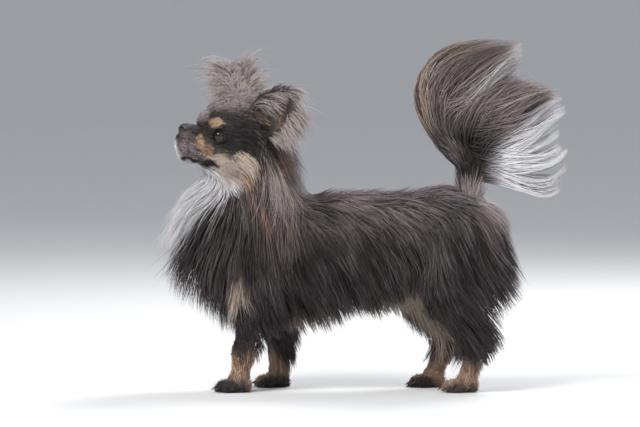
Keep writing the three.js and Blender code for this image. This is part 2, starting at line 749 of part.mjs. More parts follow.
// Who keeps its shape: each node is cut clear of all that come before it.
const order = [...eyes, noseNode, head, ...earNodes, ...paws, ...legNodes, neck, tail, torso];
const dog = new THREE.Group();
let taken = null;
for (const node of order) {
  let made = node.whole();
  if (taken) made = made.subtract(taken);
  const pieces = made.decompose().sort((a, b) => b.volume() - a.volume());
  const mesh = pieces[0].simplify(0.01).getMesh();
  const geometry = new THREE.BufferGeometry();
  const points = Array.from({ length: mesh.numVert }, (_, i) => [
    ...mesh.vertProperties.subarray(i * mesh.numProp, i * mesh.numProp + 3),
  ]);
  geometry.setAttribute("position", new THREE.Float32BufferAttribute(points.flat(), 3));
  geometry.setIndex([...mesh.triVerts]);
  geometry.computeVertexNormals();
  const shown = new THREE.Mesh(geometry, node.look);
  shown.name = node.name;
  dog.add(shown);
  const clear = node.clear();
  taken = taken ? wasm.Manifold.union([taken, clear, made]) : clear;
}

// The origin is on the floor, under the middle of the whole dog.
const whole = new THREE.Box3().setFromObject(dog);
const middle = whole.getCenter(v(0, 0, 0));
dog.position.set(-middle.x, -middle.y, -whole.min.z);

export default dog;
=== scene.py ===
# %% [markdown]
# # A long-haired chihuahua, standing
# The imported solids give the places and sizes. This scene dresses them: one skin over the whole body,
# a coat of solid tapered hairs that follow the lie of the real coat, eyes, nose leather and claws.
# The frame is loaded first, because every piece is placed from it.

# %% The frame
import math

import bpy
import numpy as np
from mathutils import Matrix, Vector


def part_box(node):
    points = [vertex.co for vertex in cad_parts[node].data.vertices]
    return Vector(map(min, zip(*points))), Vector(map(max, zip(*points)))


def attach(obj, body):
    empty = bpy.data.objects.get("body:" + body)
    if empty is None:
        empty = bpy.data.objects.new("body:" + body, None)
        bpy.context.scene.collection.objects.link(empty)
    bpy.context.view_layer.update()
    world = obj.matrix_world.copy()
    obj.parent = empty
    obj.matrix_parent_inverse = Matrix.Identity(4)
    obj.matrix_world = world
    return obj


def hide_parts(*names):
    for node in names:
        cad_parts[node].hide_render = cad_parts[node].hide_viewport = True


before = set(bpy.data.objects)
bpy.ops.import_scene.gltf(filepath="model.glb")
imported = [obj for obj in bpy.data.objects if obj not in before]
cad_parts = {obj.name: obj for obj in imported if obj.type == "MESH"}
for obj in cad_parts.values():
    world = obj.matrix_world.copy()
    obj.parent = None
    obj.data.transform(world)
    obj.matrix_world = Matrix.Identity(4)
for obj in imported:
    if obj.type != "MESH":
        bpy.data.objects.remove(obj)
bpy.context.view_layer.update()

import openvdb
from mathutils import Vector
from mathutils.kdtree import KDTree

print("nodes:", sorted(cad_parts))

# %% [markdown]
# ## Places on the dog
# The dog is drawn in its own millimetres: it faces -X, its left side is towards -Y, and the floor is
# at z = 0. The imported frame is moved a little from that, so the left eye, whose place is known in
# both, tells by how much. All pieces are made in the dog's millimetres and moved once, at the end.

# %% Small helpers and the shift to the frame
HEAD_TURN = math.radians(8)
HEAD_PIVOT = np.array([-106.0, 0.0, 225.0])
EYE_RADIUS = 8.4
EYE = np.array([-133.6, 17.0, 228.8])
HALF_STANCE = 29


def unit(a):
    return a / np.maximum(np.linalg.norm(a, axis=-1, keepdims=True), 1e-9)


def smooth(x, low, high):
    """0 below low, 1 above high, and smooth between."""
    t = np.clip((x - low) / (high - low), 0, 1)
    return t * t * (3 - 2 * t)


def turn_head(p, about=HEAD_PIVOT, turn=HEAD_TURN):
    """Places on a head that looks straight ahead, carried to the turned head."""
    q = np.asarray(p, float) - about
    x = q[..., 0] * math.cos(turn) - q[..., 1] * math.sin(turn)
    y = q[..., 0] * math.sin(turn) + q[..., 1] * math.cos(turn)
    return np.stack([x, y, q[..., 2]], -1) + about


def turn_way(way):
    return turn_head(way, about=np.zeros(3))


def mirror(p, side):
    return np.array([p[0], p[1] * side, p[2]], float)


left_eye = turn_head(mirror(EYE, -1))
eye_box = [np.array(c) * 1000 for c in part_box("eye_left")]
paw_box = [np.array(c) * 1000 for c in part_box("forepaw_left")]
paw_middle = (paw_box[0][1] + paw_box[1][1]) / 2
SHIFT = np.array([eye_box[1][0] - (left_eye[0] + EYE_RADIUS), paw_middle + HALF_STANCE, 0])
print("the frame lies at", SHIFT.round(2), "mm from the dog's own origin")


def to_frame(p):
    """From the dog's millimetres to the frame's metres."""
    return (np.asarray(p) + SHIFT) / 1000


# %% [markdown]
# ## The camera
# A long lens a few metres away, almost level with the dog, as in the photo. The field of view is
# worked out from the width that the photo shows at the dog.

# %% Camera
VIEW_WIDTH = 576.0
VIEW_CENTRE = np.array([-43.2, 0.0, 158.9])
VIEW_DISTANCE = 4200.0
VIEW_TILT = math.radians(2.5)
camera_data = bpy.data.cameras.new("camera")
camera_data.sensor_width = 36
camera_data.lens = 36 * VIEW_DISTANCE / VIEW_WIDTH
camera = bpy.data.objects.new("camera", camera_data)
bpy.context.scene.collection.objects.link(camera)
back = np.array([0, -math.cos(VIEW_TILT), math.sin(VIEW_TILT)]) * VIEW_DISTANCE
camera.location = to_frame(VIEW_CENTRE + back)
camera.rotation_euler = (math.pi / 2 - VIEW_TILT, 0, 0)
bpy.context.scene.camera = camera
print("lens", round(camera_data.lens), "mm")

# %% [markdown]
# ## Floor and light
# A flat floor alone would end in a hard horizon. This one is a wide pale bowl whose rim rises far
# outside the camera's path, so it is the same from all sides. One large soft light stands above and
# in front, with a weaker fill, and a rim light behind shows single hairs as the low sun does.

# %% Floor and lights
BOWL_RADIUS = 16.0
BOWL_BEND = 5.0
BOWL_HEIGHT = 8.0


def bowl(sides=72, bends=12):
    flat = BOWL_RADIUS - BOWL_BEND
    profile = [(flat * 0.98, 0.0)]
    for turn in np.linspace(0, math.pi / 2, bends):
        profile.append((flat + BOWL_BEND * math.sin(turn), BOWL_BEND * (1 - math.cos(turn))))
    profile.append((BOWL_RADIUS, BOWL_HEIGHT))
    points = [(0.0, 0.0, 0.0)]
    for radius, height in profile:
        for turn in np.linspace(0, 2 * math.pi, sides, endpoint=False):
            points.append((radius * math.cos(turn), radius * math.sin(turn), height))
    faces = [(0, 1 + j, 1 + (j + 1) % sides) for j in range(sides)]
    for i in range(len(profile) - 1):
        for j in range(sides):
            a, b = 1 + i * sides + j, 1 + i * sides + (j + 1) % sides
            faces.append((a, a + sides, b + sides, b))
    mesh = bpy.data.meshes.new("floor")
    mesh.from_pydata(points, [], faces)
    mesh.shade_smooth()
    made = bpy.data.objects.new("floor", mesh)
    bpy.context.scene.collection.objects.link(made)
    return made


def area_light(name, place, size, power, colour=(1, 1, 1)):
    data = bpy.data.lights.new(name, "AREA")
    data.size = size
    data.energy = power
    data.color = colour
    made = bpy.data.objects.new(name, data)
    made.location = place
    made.rotation_euler = (Vector((0, 0, 0.15)) - Vector(place)).to_track_quat("-Z", "Y").to_euler()
    bpy.context.scene.collection.objects.link(made)


bowl()
area_light("key", (-0.9, -1.3, 1.7), 1.0, 38, (1.0, 0.98, 0.95))
area_light("fill", (1.4, -1.8, 0.9), 1.6, 14, (0.93, 0.96, 1.0))
area_light("rim", (0.7, 1.1, 1.5), 0.8, 26)
world = bpy.data.worlds.new("studio")
world.use_nodes = True
world.node_tree.nodes["Background"].inputs["Color"].default_value = (0.82, 0.86, 0.92, 1)
world.node_tree.nodes["Background"].inputs["Strength"].default_value = 0.55
bpy.context.scene.world = world
bpy.context.scene.view_settings.view_transform = "Standard"

# %% [markdown]
# ## Flesh
# The body under the coat could be sculpted, or lofted from sections. Here it is a field of round
# cones that melt into each other, the same ones as in the solids: it is smooth where muscles meet,
# and it also tells each hair how far it is from the skin and which way is out.

# %% Round cones and how they join
class Limb:
    """A cone with round ends from a to b, made wider or narrower along side."""

    def __init__(self, a, b, radius_a, radius_b, wide=1.0, side=(0, 1, 0)):
        self.a, self.b = np.array(a, float), np.array(b, float)
        self.radii, self.wide, self.side = (radius_a, radius_b), wide, np.array(side, float)

    def __call__(self, p):
        along = self.b - self.a
        q = p - self.a
        t = np.clip(q @ along / (along @ along), 0, 1)
        q = q - t[..., None] * along
        if self.wide != 1:
            q = q - (q @ self.side * (1 - 1 / self.wide))[..., None] * self.side
        return np.linalg.norm(q, axis=-1) - (self.radii[0] + (self.radii[1] - self.radii[0]) * t)

    def box(self, margin):
        reach = max(self.radii) * max(1, self.wide) + margin
        return np.minimum(self.a, self.b) - reach, np.maximum(self.a, self.b) + reach

    def grown(self, by):
        return Limb(self.a, self.b, self.radii[0] + by, self.radii[1] + by, self.wide, self.side)

    def on_head(self):
        return Limb(turn_head(self.a), turn_head(self.b), *self.radii, self.wide, turn_way(self.side))


def melt(a, b, soft):
    """The nearer of two distances, rounded where they meet."""
    h = np.maximum(soft - np.abs(a - b), 0)
    return np.minimum(a, b) - h * h / (4 * soft)


def pair(make):
    """The same thing on the right and on the left."""
    return [make(1), make(-1)]


print("two shapes 3 mm away, melted over 4 mm, are", melt(3.0, 3.0, 4), "mm away")

# %% [markdown]
# ## The dog in cones
# Ribs, breast, loin and rump make the trunk, two cones the neck, and the head has a skull, cheeks, a
# muzzle with lips, a jaw and brows. A leg has three cones, from the shoulder or hip to the foot. The
# softness says how many millimetres two cones melt over, and the inset how far the skin lies under
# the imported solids, which reach out into the coat.

# %% The body's cones
TORSO_SOFT, NECK_SOFT, HEAD_SOFT, LEG_SOFT = 16, 10, 7, 9
BODY_INSET, NECK_INSET, HEAD_INSET, LEG_INSET = 4.0, 5.0, 0.8, 1.2
torso_limbs = [
    Limb((-88, 0, 127), (-10, 0, 132), 45, 42, 0.86),
    Limb((-122, 0, 138), (-92, 0, 117), 33, 39, 0.92),
    Limb((-10, 0, 135), (70, 0, 142), 40, 38, 0.88),
    Limb((70, 0, 142), (90, 0, 141), 38, 31, 0.95),
]
neck_limbs = [
    Limb((-90, 0, 150), (-105, 0, 214), 39, 29, 0.88),
    Limb((-124, 0, 160), (-126, 0, 194), 31, 21, 0.9),
]
head_limbs = [
    Limb((-121, 0, 235), (-110, 0, 236), 30.5, 31, 0.94),
    *pair(lambda s: Limb((-134, s * 9, 217), (-112, s * 13, 210), 14, 17)),
    Limb((-140, 0, 223), (-161, 0, 226.5), 15.5, 11.2, 1.05),
    *pair(lambda s: Limb((-146, s * 5.5, 215), (-164, s * 4.5, 218.5), 9.2, 8.2)),
    Limb((-153, 0, 208.5), (-128, 0, 199), 6.5, 12, 1.15),
    *pair(lambda s: Limb((-146, s * 9, 243), (-136, s * 17, 241), 6, 6.5)),
]
head_limbs = [limb.on_head() for limb in head_limbs]
LEGS = {
    "foreleg_left": (-1, [(-96, 112), (-100, 82), (-112, 36), (-115, 14)], (20, 14, 8.4, 8.2), -121),
    "foreleg_right": (1, [(-86, 112), (-81, 82), (-79, 36), (-81, 14)], (20, 14, 8.4, 8.2), -87),
    "hindleg_left": (-1, [(84, 136), (68, 92), (98, 47), (89, 14)], (27, 19, 8.6, 8), 82),
    "hindleg_right": (1, [(78, 136), (46, 91), (74, 45), (61, 14)], (27, 19, 8.6, 8), 54),
}
TOP_INSET = (4, 1, 0, 0)
leg_limbs = []
for side, joints, radii, paw_x in LEGS.values():
    at = [(x, side * (HALF_STANCE - inset), z) for (x, z), inset in zip(joints, TOP_INSET)]
    leg_limbs += [Limb(at[i], at[i + 1], radii[i], radii[i + 1], 0.72 if i == 0 else 1) for i in range(3)]
print(len(torso_limbs + neck_limbs + head_limbs + leg_limbs), "cones of flesh")

# %% [markdown]
# ## The tail's bone and the ears' leaves
# The tail is a curve that rises and bends back over the rump. Each ear is a leaf, cupped towards the
# side it faces: t runs from its root to its tip, and s from edge to edge.

# %% Tail bone and ear leaves
TAIL_POINTS = np.array([
    (90, 0, 168), (92, 0, 190), (89, 0, 204), (77, 0, 219),
    (66, 0, 233), (58, 0, 249), (56, 0, 266), (61, 0, 282),
], float)
TAIL_ROOT_RADIUS, TAIL_TIP_RADIUS = 11.5, 3
TAIL_CONES = 14


def curve(points, t):
    """A smooth curve through the points, at t from 0 to 1."""
    x = np.clip(np.asarray(t, float), 0, 1) * (len(points) - 1)
    i = np.minimum(x.astype(int), len(points) - 2)
    f = (x - i)[..., None]
    padded = np.vstack([2 * points[0] - points[1], points, 2 * points[-1] - points[-2]])
    a, b, c, d = (padded[i + k] for k in range(4))
    bend = (2 * a - 5 * b + 4 * c - d) * f**2
    turn = (3 * b - a - 3 * c + d) * f**3
    return 0.5 * (2 * b + (c - a) * f + bend + turn)


def tail_bone(t):
    return curve(TAIL_POINTS, t)


def tail_radius(t):
    return TAIL_ROOT_RADIUS + (TAIL_TIP_RADIUS - TAIL_ROOT_RADIUS) * t**0.7


tail_limbs = []
for i in range(TAIL_CONES):
    t = np.array([i / TAIL_CONES, (i + 1) / TAIL_CONES])
    a, b = tail_bone(t)
    tail_limbs.append(Limb(a, b, *tail_radius(t)))

EAR_LENGTH, EAR_WIDTH, EAR_THICK = 43, 33, 2.0
EAR_FROM, EAR_TO = -0.16, 0.995


class Ear:
    """A leaf from base to tip, cupped towards the way it is facing."""

    def __init__(self, base, tip, facing):
        self.base = np.array(base, float)
        self.along = unit(np.array(tip, float) - self.base)
        self.across = unit(np.cross(self.along, facing))
        self.out = np.cross(self.across, self.along)

    def point(self, t, s):
        t, s = np.asarray(t, float), np.asarray(s, float)
        half = EAR_WIDTH / 2 * (0.9 + 0.45 * t) * (1 - np.clip(t, 0, EAR_TO) ** 2.4) ** 0.8
        cup = (13 - 10 * t) * s * s
        p = self.base + EAR_LENGTH * t[..., None] * self.along
        return turn_head(p + (half * s)[..., None] * self.across + cup[..., None] * self.out)

    def normal(self, t, s):
        step = 0.01
        t = np.minimum(t, 0.9)
        a = self.point(t, s + step) - self.point(t, s - step)
        b = self.point(t + step, s) - self.point(t - step, s)
        n = unit(np.cross(a, b))
        return n * np.sign((n * turn_way(self.out)).sum(-1, keepdims=True))

    def cloud(self, rows, columns):
        t, s = np.meshgrid(
            np.linspace(EAR_FROM, EAR_TO, rows), np.linspace(-1, 1, columns), indexing="ij"
        )
        return self.point(t, s).reshape(-1, 3)

    def __call__(self, p):
        cloud = self.cloud(90, 70)
        tree = KDTree(len(cloud))
        for i, q in enumerate(cloud):
            tree.insert(q, i)
        tree.balance()
        return np.array([tree.find(q)[2] for q in p.reshape(-1, 3)]).reshape(p.shape[:-1]) - EAR_THICK / 2

    def box(self, margin):
        cloud = self.cloud(12, 9)
        return cloud.min(0) - margin - 1, cloud.max(0) + margin + 1


ears = {
    "ear_left": Ear((-94, -22, 244), (-77, -52, 266), (-0.75, -0.61, -0.23)),
    "ear_right": Ear((-103, 18, 256), (-117.5, 37, 293), (-0.72, 0.62, 0.3)),
}
print("ears from", {name: ear.point(0.99, 0).round().tolist() for name, ear in ears.items()})

# %% [markdown]
# ## From field to skin
# The field is sampled on a grid and its zero level becomes quads. A coarse grid is smooth enough
# under a coat; the head gets a finer one of its own for lids, lips and ears, and the nose a still
# finer one. Each shape only writes to its own box of the grid, which keeps this quick.

# %% A grid that shapes melt into
BODY_VOXEL, FACE_VOXEL, NOSE_VOXEL = 1.4, 0.8, 0.35
EMPTY = 8.0


class Clay:
    """A grid of distances that starts out empty and takes one shape after another."""

    def __init__(self, low, high, voxel):
        self.low, self.voxel = np.array(low, float), voxel
        count = np.ceil((np.array(high) - self.low) / voxel).astype(int) + 1
        self.values = np.full(count, EMPTY, np.float32)

    def shape(self, what, soft, cut=False):
        """Add a shape, or cut it away, with an edge as soft as soft says."""
        low, high = what.box(soft + 4 * self.voxel)
        i = np.clip(np.floor((low - self.low) / self.voxel).astype(int), 0, self.values.shape)
        j = np.clip(np.ceil((high - self.low) / self.voxel).astype(int), 0, self.values.shape)
        if (j <= i).any():
            return
        axes = [self.low[k] + self.voxel * np.arange(i[k], j[k]) for k in range(3)]
        points = np.stack(np.meshgrid(*axes, indexing="ij"), -1)
        part = tuple(slice(a, b) for a, b in zip(i, j))
        d = what(points)
        old = self.values[part]
        self.values[part] = -melt(-old, d, soft) if cut else melt(old, d, soft)

    def surface(self):
        """The points and quads of the zero level."""
        grid = openvdb.FloatGrid(EMPTY)
        grid.copyFromArray(self.values)
        points, _, quads = grid.convertToPolygons(isovalue=0.0, adaptivity=0.0)
        return points * self.voxel + self.low, [tuple(f[::-1]) for f in quads.tolist()]


class Ball:
    """An ellipsoid with its own axes, as rows of turn."""

    def __init__(self, centre, radii, turn=None):
        self.centre, self.radii = np.array(centre, float), np.array(radii, float)
        self.turn = np.eye(3) if turn is None else np.array(turn)

    def __call__(self, p):
        q = (p - self.centre) @ self.turn.T
        near = np.linalg.norm(q / self.radii, axis=-1)
        steep = np.linalg.norm(q / self.radii**2, axis=-1)
        return near * (near - 1) / np.maximum(steep, 1e-6)

    def box(self, margin):
        reach = self.radii.max() + margin
        return self.centre - reach, self.centre + reach


print("grids of", BODY_VOXEL, FACE_VOXEL, "and", NOSE_VOXEL, "mm")

# %% [markdown]
# ## The face
# The eyes sit deep behind lids, and the lips meet in a line that runs back from under the nose. They
# could be sculpted by hand. Here lids and lips are thin rolls melted into the skin, and the line of
# the mouth is a groove cut between them, so each follows the head when a cone is changed.

# %% Eyes' frames, lids, mouth
def eye_frame(side):
    look = unit(np.array([-0.62, side * 0.77, 0.16]))
    across = unit(np.cross([0, 0, 1], look))
    up = np.cross(look, across)
    centre = mirror(EYE, side)
    return turn_head(centre), turn_way(look), turn_way(across), turn_way(up)


LID_FORWARD, LID_ACROSS, LID_UP = 5.2, 6.7, 5.6
LID_STEPS = 20


def lid_ring(side, swell):
    """Points round the opening of the lids, and their turns about the line of sight."""
    centre, look, across, up = eye_frame(side)
    turns = np.linspace(0, 2 * math.pi, LID_STEPS + 1)
    ring = centre + LID_FORWARD * look + np.outer(np.cos(turns) * LID_ACROSS * swell, across)
    return ring + np.outer(np.sin(turns) * LID_UP * swell, up), turns


def rolls(points, radii):
    """Limbs from point to point, as thick as radii says at each point."""
    return [Limb(a, b, r, s) for a, b, r, s in zip(points[:-1], points[1:], radii[:-1], radii[1:])]


def head_field(p):
    d = head_limbs[0](p)
    for limb in head_limbs[1:]:
        d = melt(d, limb(p), HEAD_SOFT)
    return d


def onto(field, start, way, level):
    """Walk from start along way until the field has this level."""
    p = np.array(start, float)
    way = unit(np.array(way, float))
    for _ in range(80):
        p = p + way * (level - field(p[None])[0]) * 0.7
    return p


MOUTH = [(-144, 15, 201.5), (-150, 13, 204.5), (-157, 10, 208), (-164, 6.5, 210.5), (-168, 0, 211.5)]


def mouth_line(lift, level):
    """The line of the mouth from the right corner to the left one, lifted, at a level of the skin."""
    line = []
    for side, points in ((1, MOUTH), (-1, MOUTH[-2::-1])):
        for x, y, z in points:
            start = turn_head((x + 6, 0, z + 3))
            at = turn_head((x, side * y, z))
            line.append(onto(head_field, start, at - start, level) + [0, 0, lift])
    return np.array(line)


# where the two skins overlap, the face's neck lies just under the body's
NECK_UNDER_BODY = 6.5
# the lift from the line of the mouth and the radius, of the upper and the lower lip
LIPS = ((2.2, 2.0), (-1.9, 1.7))
LIP_SOFT, EAR_SOFT = 2.5, 3
GROOVE_RADIUS = 0.85
face = Clay((-186, -62, 188), (-66, 62, 302), FACE_VOXEL)
for limb in neck_limbs:
    face.shape(limb.grown(-NECK_UNDER_BODY), NECK_SOFT)
for limb in head_limbs:
    face.shape(limb.grown(-HEAD_INSET), HEAD_SOFT)
for side in (1, -1):
    centre, look, across, up = eye_frame(side)
    turn = np.array([across, up, look])
    face.shape(Ball(centre + look * (EYE_RADIUS + 2), (LID_ACROSS, LID_UP, EYE_RADIUS), turn), 2, cut=True)
    face.shape(Ball(centre, (EYE_RADIUS + 0.4,) * 3), 0.8, cut=True)
    ring, turns = lid_ring(side, 1.06)
    for roll in rolls(ring, 1.35 + 0.35 * np.sin(turns)):
        face.shape(roll, 1.6)
mouth_points = 2 * len(MOUTH) - 1
for lift, radius in LIPS:
    for lip in rolls(mouth_line(lift, -0.9), np.full(mouth_points, radius)):
        face.shape(lip, LIP_SOFT)
for groove in rolls(mouth_line(0.0, -0.1), np.full(mouth_points, GROOVE_RADIUS)):
    face.shape(groove, 0.6, cut=True)
for ear in ears.values():
    face.shape(ear, EAR_SOFT)
face_points, face_quads = face.surface()
print("head skin:", len(face_quads), "quads")

# %% [markdown]
# ## The body and the paws
# The body's skin is seldom seen under its coat, so its grid is coarser than the face's. A paw needs
# toes, because they show: four balls in front of a pad, cut level where they stand on the floor.

# %% Body skin
# each toe's place across the paw, in steps, and how far ahead of the paw's middle it lies
TOES = [(-1.5, 3.0), (-0.5, 6.5), (0.5, 6.5), (1.5, 3.0)]
TOE_STEP = 5.6
TOE_RADII = (8.5, 3.9, 5.9)
PAW_SOFT = 4
TAIL_SOFT, TAIL_INSET = 5, 0.8


class Paw:
    """Four toes in front of a pad, flat where it stands."""

    def __init__(self, side, x, ankle_x):
        y = side * HALF_STANCE
        self.balls = [Ball((x + 6, y, 6), (10.5, 9, 7)), Ball((ankle_x - 1, y, 11), (8.6, 8, 7))]
        for across, reach in TOES:
            self.balls.append(Ball((x - reach, y + across * TOE_STEP, 5), TOE_RADII))

    def __call__(self, p):
        d = self.balls[0](p)
        for ball in self.balls[1:]:
            d = melt(d, ball(p), 1.6)
        return np.maximum(d, 0.05 - p[..., 2])

    def box(self, margin):
        boxes = [ball.box(margin) for ball in self.balls]
        return np.min([b[0] for b in boxes], 0), np.max([b[1] for b in boxes], 0)


paws = [Paw(side, paw_x, joints[-1][0]) for side, joints, _, paw_x in LEGS.values()]
body = Clay((-186, -62, -3), (132, 62, 296), BODY_VOXEL)
for limb in torso_limbs:
    body.shape(limb.grown(-BODY_INSET), TORSO_SOFT)
for limb in neck_limbs:
    body.shape(limb.grown(-NECK_INSET), NECK_SOFT)
for limb in leg_limbs:
    body.shape(limb.grown(-LEG_INSET), LEG_SOFT)
for paw in paws:
    body.shape(paw, PAW_SOFT)
for limb in tail_limbs:
    body.shape(limb.grown(-TAIL_INSET), TAIL_SOFT)
body_points, body_quads = body.surface()
print("body skin:", len(body_quads), "quads")


# %% [markdown]
# ## One skin
# Head and body become one mesh. It is unwrapped once, because the hairs take their places on that
# unwrap too, and so carry the same picture as the skin when the model leaves Blender.

# %% Skin mesh and its unwrap
def smooth_mesh(name, points, faces):
    """A smooth mesh of points in the dog's millimetres."""
    mesh = bpy.data.meshes.new(name)
    mesh.from_pydata(to_frame(points).tolist(), [], faces)
    mesh.shade_smooth()
    return mesh


def add_object(name, mesh, material_slot, *replaced):
    made = bpy.data.objects.new(name, mesh)
    bpy.context.scene.collection.objects.link(made)
    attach(made, "root")
    if replaced:
        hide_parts(*replaced)
    return made


skin_points = np.vstack([face_points, body_points])
skin_faces = face_quads + [tuple(i + len(face_points) for i in f) for f in body_quads]
skin_mesh = smooth_mesh("skin", skin_points, skin_faces)
FLESH = [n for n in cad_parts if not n.startswith("eye") and n != "nose"]
skin = add_object("skin", skin_mesh, "dark_fur", *FLESH)


def unwrap(made):
    made.data.uv_layers.new(name="OFBake")
    bpy.context.view_layer.objects.active = made
    made.select_set(True)
    bpy.ops.object.mode_set(mode="EDIT")
    bpy.ops.mesh.select_all(action="SELECT")
    bpy.ops.uv.smart_project(angle_limit=math.radians(66), island_margin=0.002)
    bpy.ops.object.mode_set(mode="OBJECT")
    made.select_set(False)


unwrap(skin)
corner_count = len(skin_mesh.loops)
corner_uv = np.empty(corner_count * 2, np.float32)
skin_mesh.uv_layers["OFBake"].data.foreach_get("uv", corner_uv)
face_uv = corner_uv.reshape(-1, 4, 2).mean(1)
quad_corners = skin_points[np.array(skin_faces)]
quad_centres = quad_corners.mean(1)
diagonals = quad_corners[:, 2:] - quad_corners[:, :2]
quad_cross = np.cross(diagonals[:, 0], diagonals[:, 1])
quad_normals = unit(quad_cross)
quad_areas = np.linalg.norm(quad_cross, axis=1) / 2
skin_tree = KDTree(len(quad_centres))
for index, centre in enumerate(quad_centres):
    skin_tree.insert(centre, index)
skin_tree.balance()
print("skin area", round(quad_areas.sum() / 100), "square centimetres")

# %% [markdown]
# ## How the coat lies
# A groomer knows a coat by places: here it is short and runs back, there it is long and hangs. Each
# place below gives a direction (back, outward, up), a length and how far the tips stand off, and a
# hair anywhere blends the places near it. The list is for the dog's right side, and the left mirrors.

# %% Places of the coat
# name: place, lie, length, stand
COAT = {
    "nose_bridge": ((-156, 0, 236), (1, 0, 0.25), 2.2, 0.3),
    "stop": ((-147, 4, 240), (0.8, 0.2, 0.6), 3.2, 0.5),
    "forehead": ((-140, 5, 255), (0.75, 0.1, 0.65), 6, 1.2),
    "crown": ((-118, 0, 268), (1, 0.05, 0.1), 9, 2.2),
    "back_of_skull": ((-90, 0, 260), (0.7, 0.05, -0.7), 26, 6),
    "muzzle_side": ((-156, 12, 220), (0.95, 0.1, -0.25), 3, 0.4),
    "upper_lip": ((-160, 9, 212), (0.7, 0.1, -0.65), 3.4, 0.5),
    "chin": ((-156, 0, 203), (0.65, 0, -0.75), 5, 1),
    "under_eye": ((-140, 18, 218), (0.9, 0.2, -0.35), 4.5, 0.6),
    "brow": ((-140, 12, 244), (0.7, 0.3, 0.6), 3.6, 0.7),
    "temple": ((-122, 27, 240), (0.95, 0.15, -0.2), 9, 1.5),
    "cheek": ((-120, 26, 220), (0.85, 0.2, -0.4), 9, 1.8),
    "jaw": ((-130, 20, 204), (0.85, 0.2, -0.35), 9, 2),
    "jaw_back": ((-105, 26, 205), (0.7, 0.25, -0.6), 17, 4),
    "throat": ((-140, 0, 188), (-0.9, 0.1, -0.4), 46, 26),
    "nape_high": ((-78, 0, 232), (0.4, 0.1, -0.9), 46, 7),
    "nape_low": ((-62, 0, 195), (0.5, 0.15, -0.85), 42, 7),
    "neck_side_high": ((-96, 30, 200), (0.12, 0.1, -0.98), 58, 8),
    "neck_side_low": ((-92, 36, 165), (0.15, 0.12, -0.98), 58, 9),
    "front_of_neck": ((-148, 12, 178), (-0.8, 0.25, -0.5), 58, 28),
    "bib_top": ((-155, 0, 160), (-0.78, 0.15, -0.62), 60, 33),
    "breast_front": ((-154, 0, 138), (-0.5, 0.1, -0.86), 60, 32),
    "breast_low": ((-135, 8, 104), (-0.1, 0.1, -0.98), 50, 16),
    "breast_side": ((-130, 30, 135), (-0.3, 0.15, -0.93), 54, 14),
    "shoulder": ((-85, 38, 140), (0.12, 0.08, -0.99), 44, 7),
    "upper_arm": ((-92, 38, 110), (0.15, 0.05, -0.98), 36, 6),
    "withers": ((-55, 0, 172), (0.9, 0.1, -0.35), 28, 11),
    "back": ((0, 0, 172), (0.95, 0.12, -0.2), 28, 10),
    "croup": ((60, 0, 176), (0.95, 0.12, -0.2), 28, 7),
    "ribs_high": ((-30, 28, 160), (0.75, 0.1, -0.6), 34, 7),
    "loin_high": ((40, 28, 162), (0.75, 0.1, -0.6), 34, 7),
    "flank": ((-20, 40, 130), (0.5, 0.05, -0.86), 42, 7),
    "flank_rear": ((40, 38, 130), (0.45, 0.05, -0.88), 42, 7),
    "belly_side_front": ((-50, 30, 95), (0.4, 0, -0.92), 44, 6),
    "belly_side_rear": ((15, 28, 100), (0.4, 0, -0.92), 36, 6),
    "belly": ((-20, 0, 88), (0.4, 0, -0.9), 30, 4),
    "groin": ((52, 10, 100), (0.3, 0, -0.95), 22, 4),
    "thigh": ((76, 42, 125), (0.35, 0.05, -0.93), 44, 9),
    "thigh_front": ((50, 38, 100), (0.2, 0.05, -0.97), 30, 5),
    "under_tail": ((106, 0, 166), (0.8, 0.15, -0.5), 30, 14),
    "rump": ((120, 8, 140), (0.4, 0.1, -0.9), 46, 9),
    "breech": ((100, 25, 108), (0.55, 0.1, -0.83), 54, 17),
    "hind_shin": ((82, 29, 68), (0.62, 0.05, -0.78), 46, 14),
    "hock": ((98, 29, 47), (0.6, 0.05, -0.8), 18, 4),
    "hind_pastern": ((87, 29, 25), (0.2, 0.05, -0.97), 8, 1),
    "elbow": ((-82, 30, 85), (0.35, 0.05, -0.93), 30, 5),
    "forearm_back": ((-94, 28, 55), (0.45, 0.05, -0.88), 22, 4),
    "forearm_front": ((-120, 28, 45), (0.1, 0.05, -0.99), 9, 1),
    "fore_pastern": ((-112, 29, 18), (0, 0.1, -1), 7, 0.8),
    "fore_toes": ((-125, 29, 6), (-0.6, 0.1, -0.5), 4, 0.5),
    "hind_toes": ((76, 29, 6), (-0.6, 0.1, -0.5), 4, 0.5),
}
coat_places = np.array([row[0] for row in COAT.values()], float)
coat_lies = unit(np.array([row[1] for row in COAT.values()], float))
coat_sizes = np.array([row[2:] for row in COAT.values()], float)


def coat_at(p):
    """The lie, length and stand of the coat at points p."""
    folded = p * [1, 0, 1] + np.abs(p) * [0, 1, 0]
    near = ((folded[:, None] - coat_places) ** 2).sum(-1)
    weight = 1 / (near + 40) ** 2
    weight /= weight.sum(1, keepdims=True)
    lie = weight @ coat_lies
    lie[:, 1] *= np.clip(p[:, 1] / 6, -1, 1)
    size = weight @ coat_sizes
    return unit(lie), size[:, 0], size[:, 1]


def flesh_field(p):
    """The distance to the skin of the whole dog."""
    d = torso_limbs[0](p) + BODY_INSET
    for limbs, soft, inset in (
        (torso_limbs[1:], TORSO_SOFT, BODY_INSET),
        (neck_limbs, NECK_SOFT, NECK_INSET),
        (head_limbs, HEAD_SOFT, HEAD_INSET),
        (leg_limbs, LEG_SOFT, LEG_INSET),
    ):
        for limb in limbs:
            d = melt(d, limb(p) + inset, soft)
    return d


def outward(p, step=0.8):
    """The way out of the skin at points p, and how far they stand from it."""
    here = flesh_field(p)
    slope = [flesh_field(p + step * np.eye(3)[k]) - here for k in range(3)]
    return unit(np.stack(slope, -1)), here


print(len(COAT), "places in the coat")

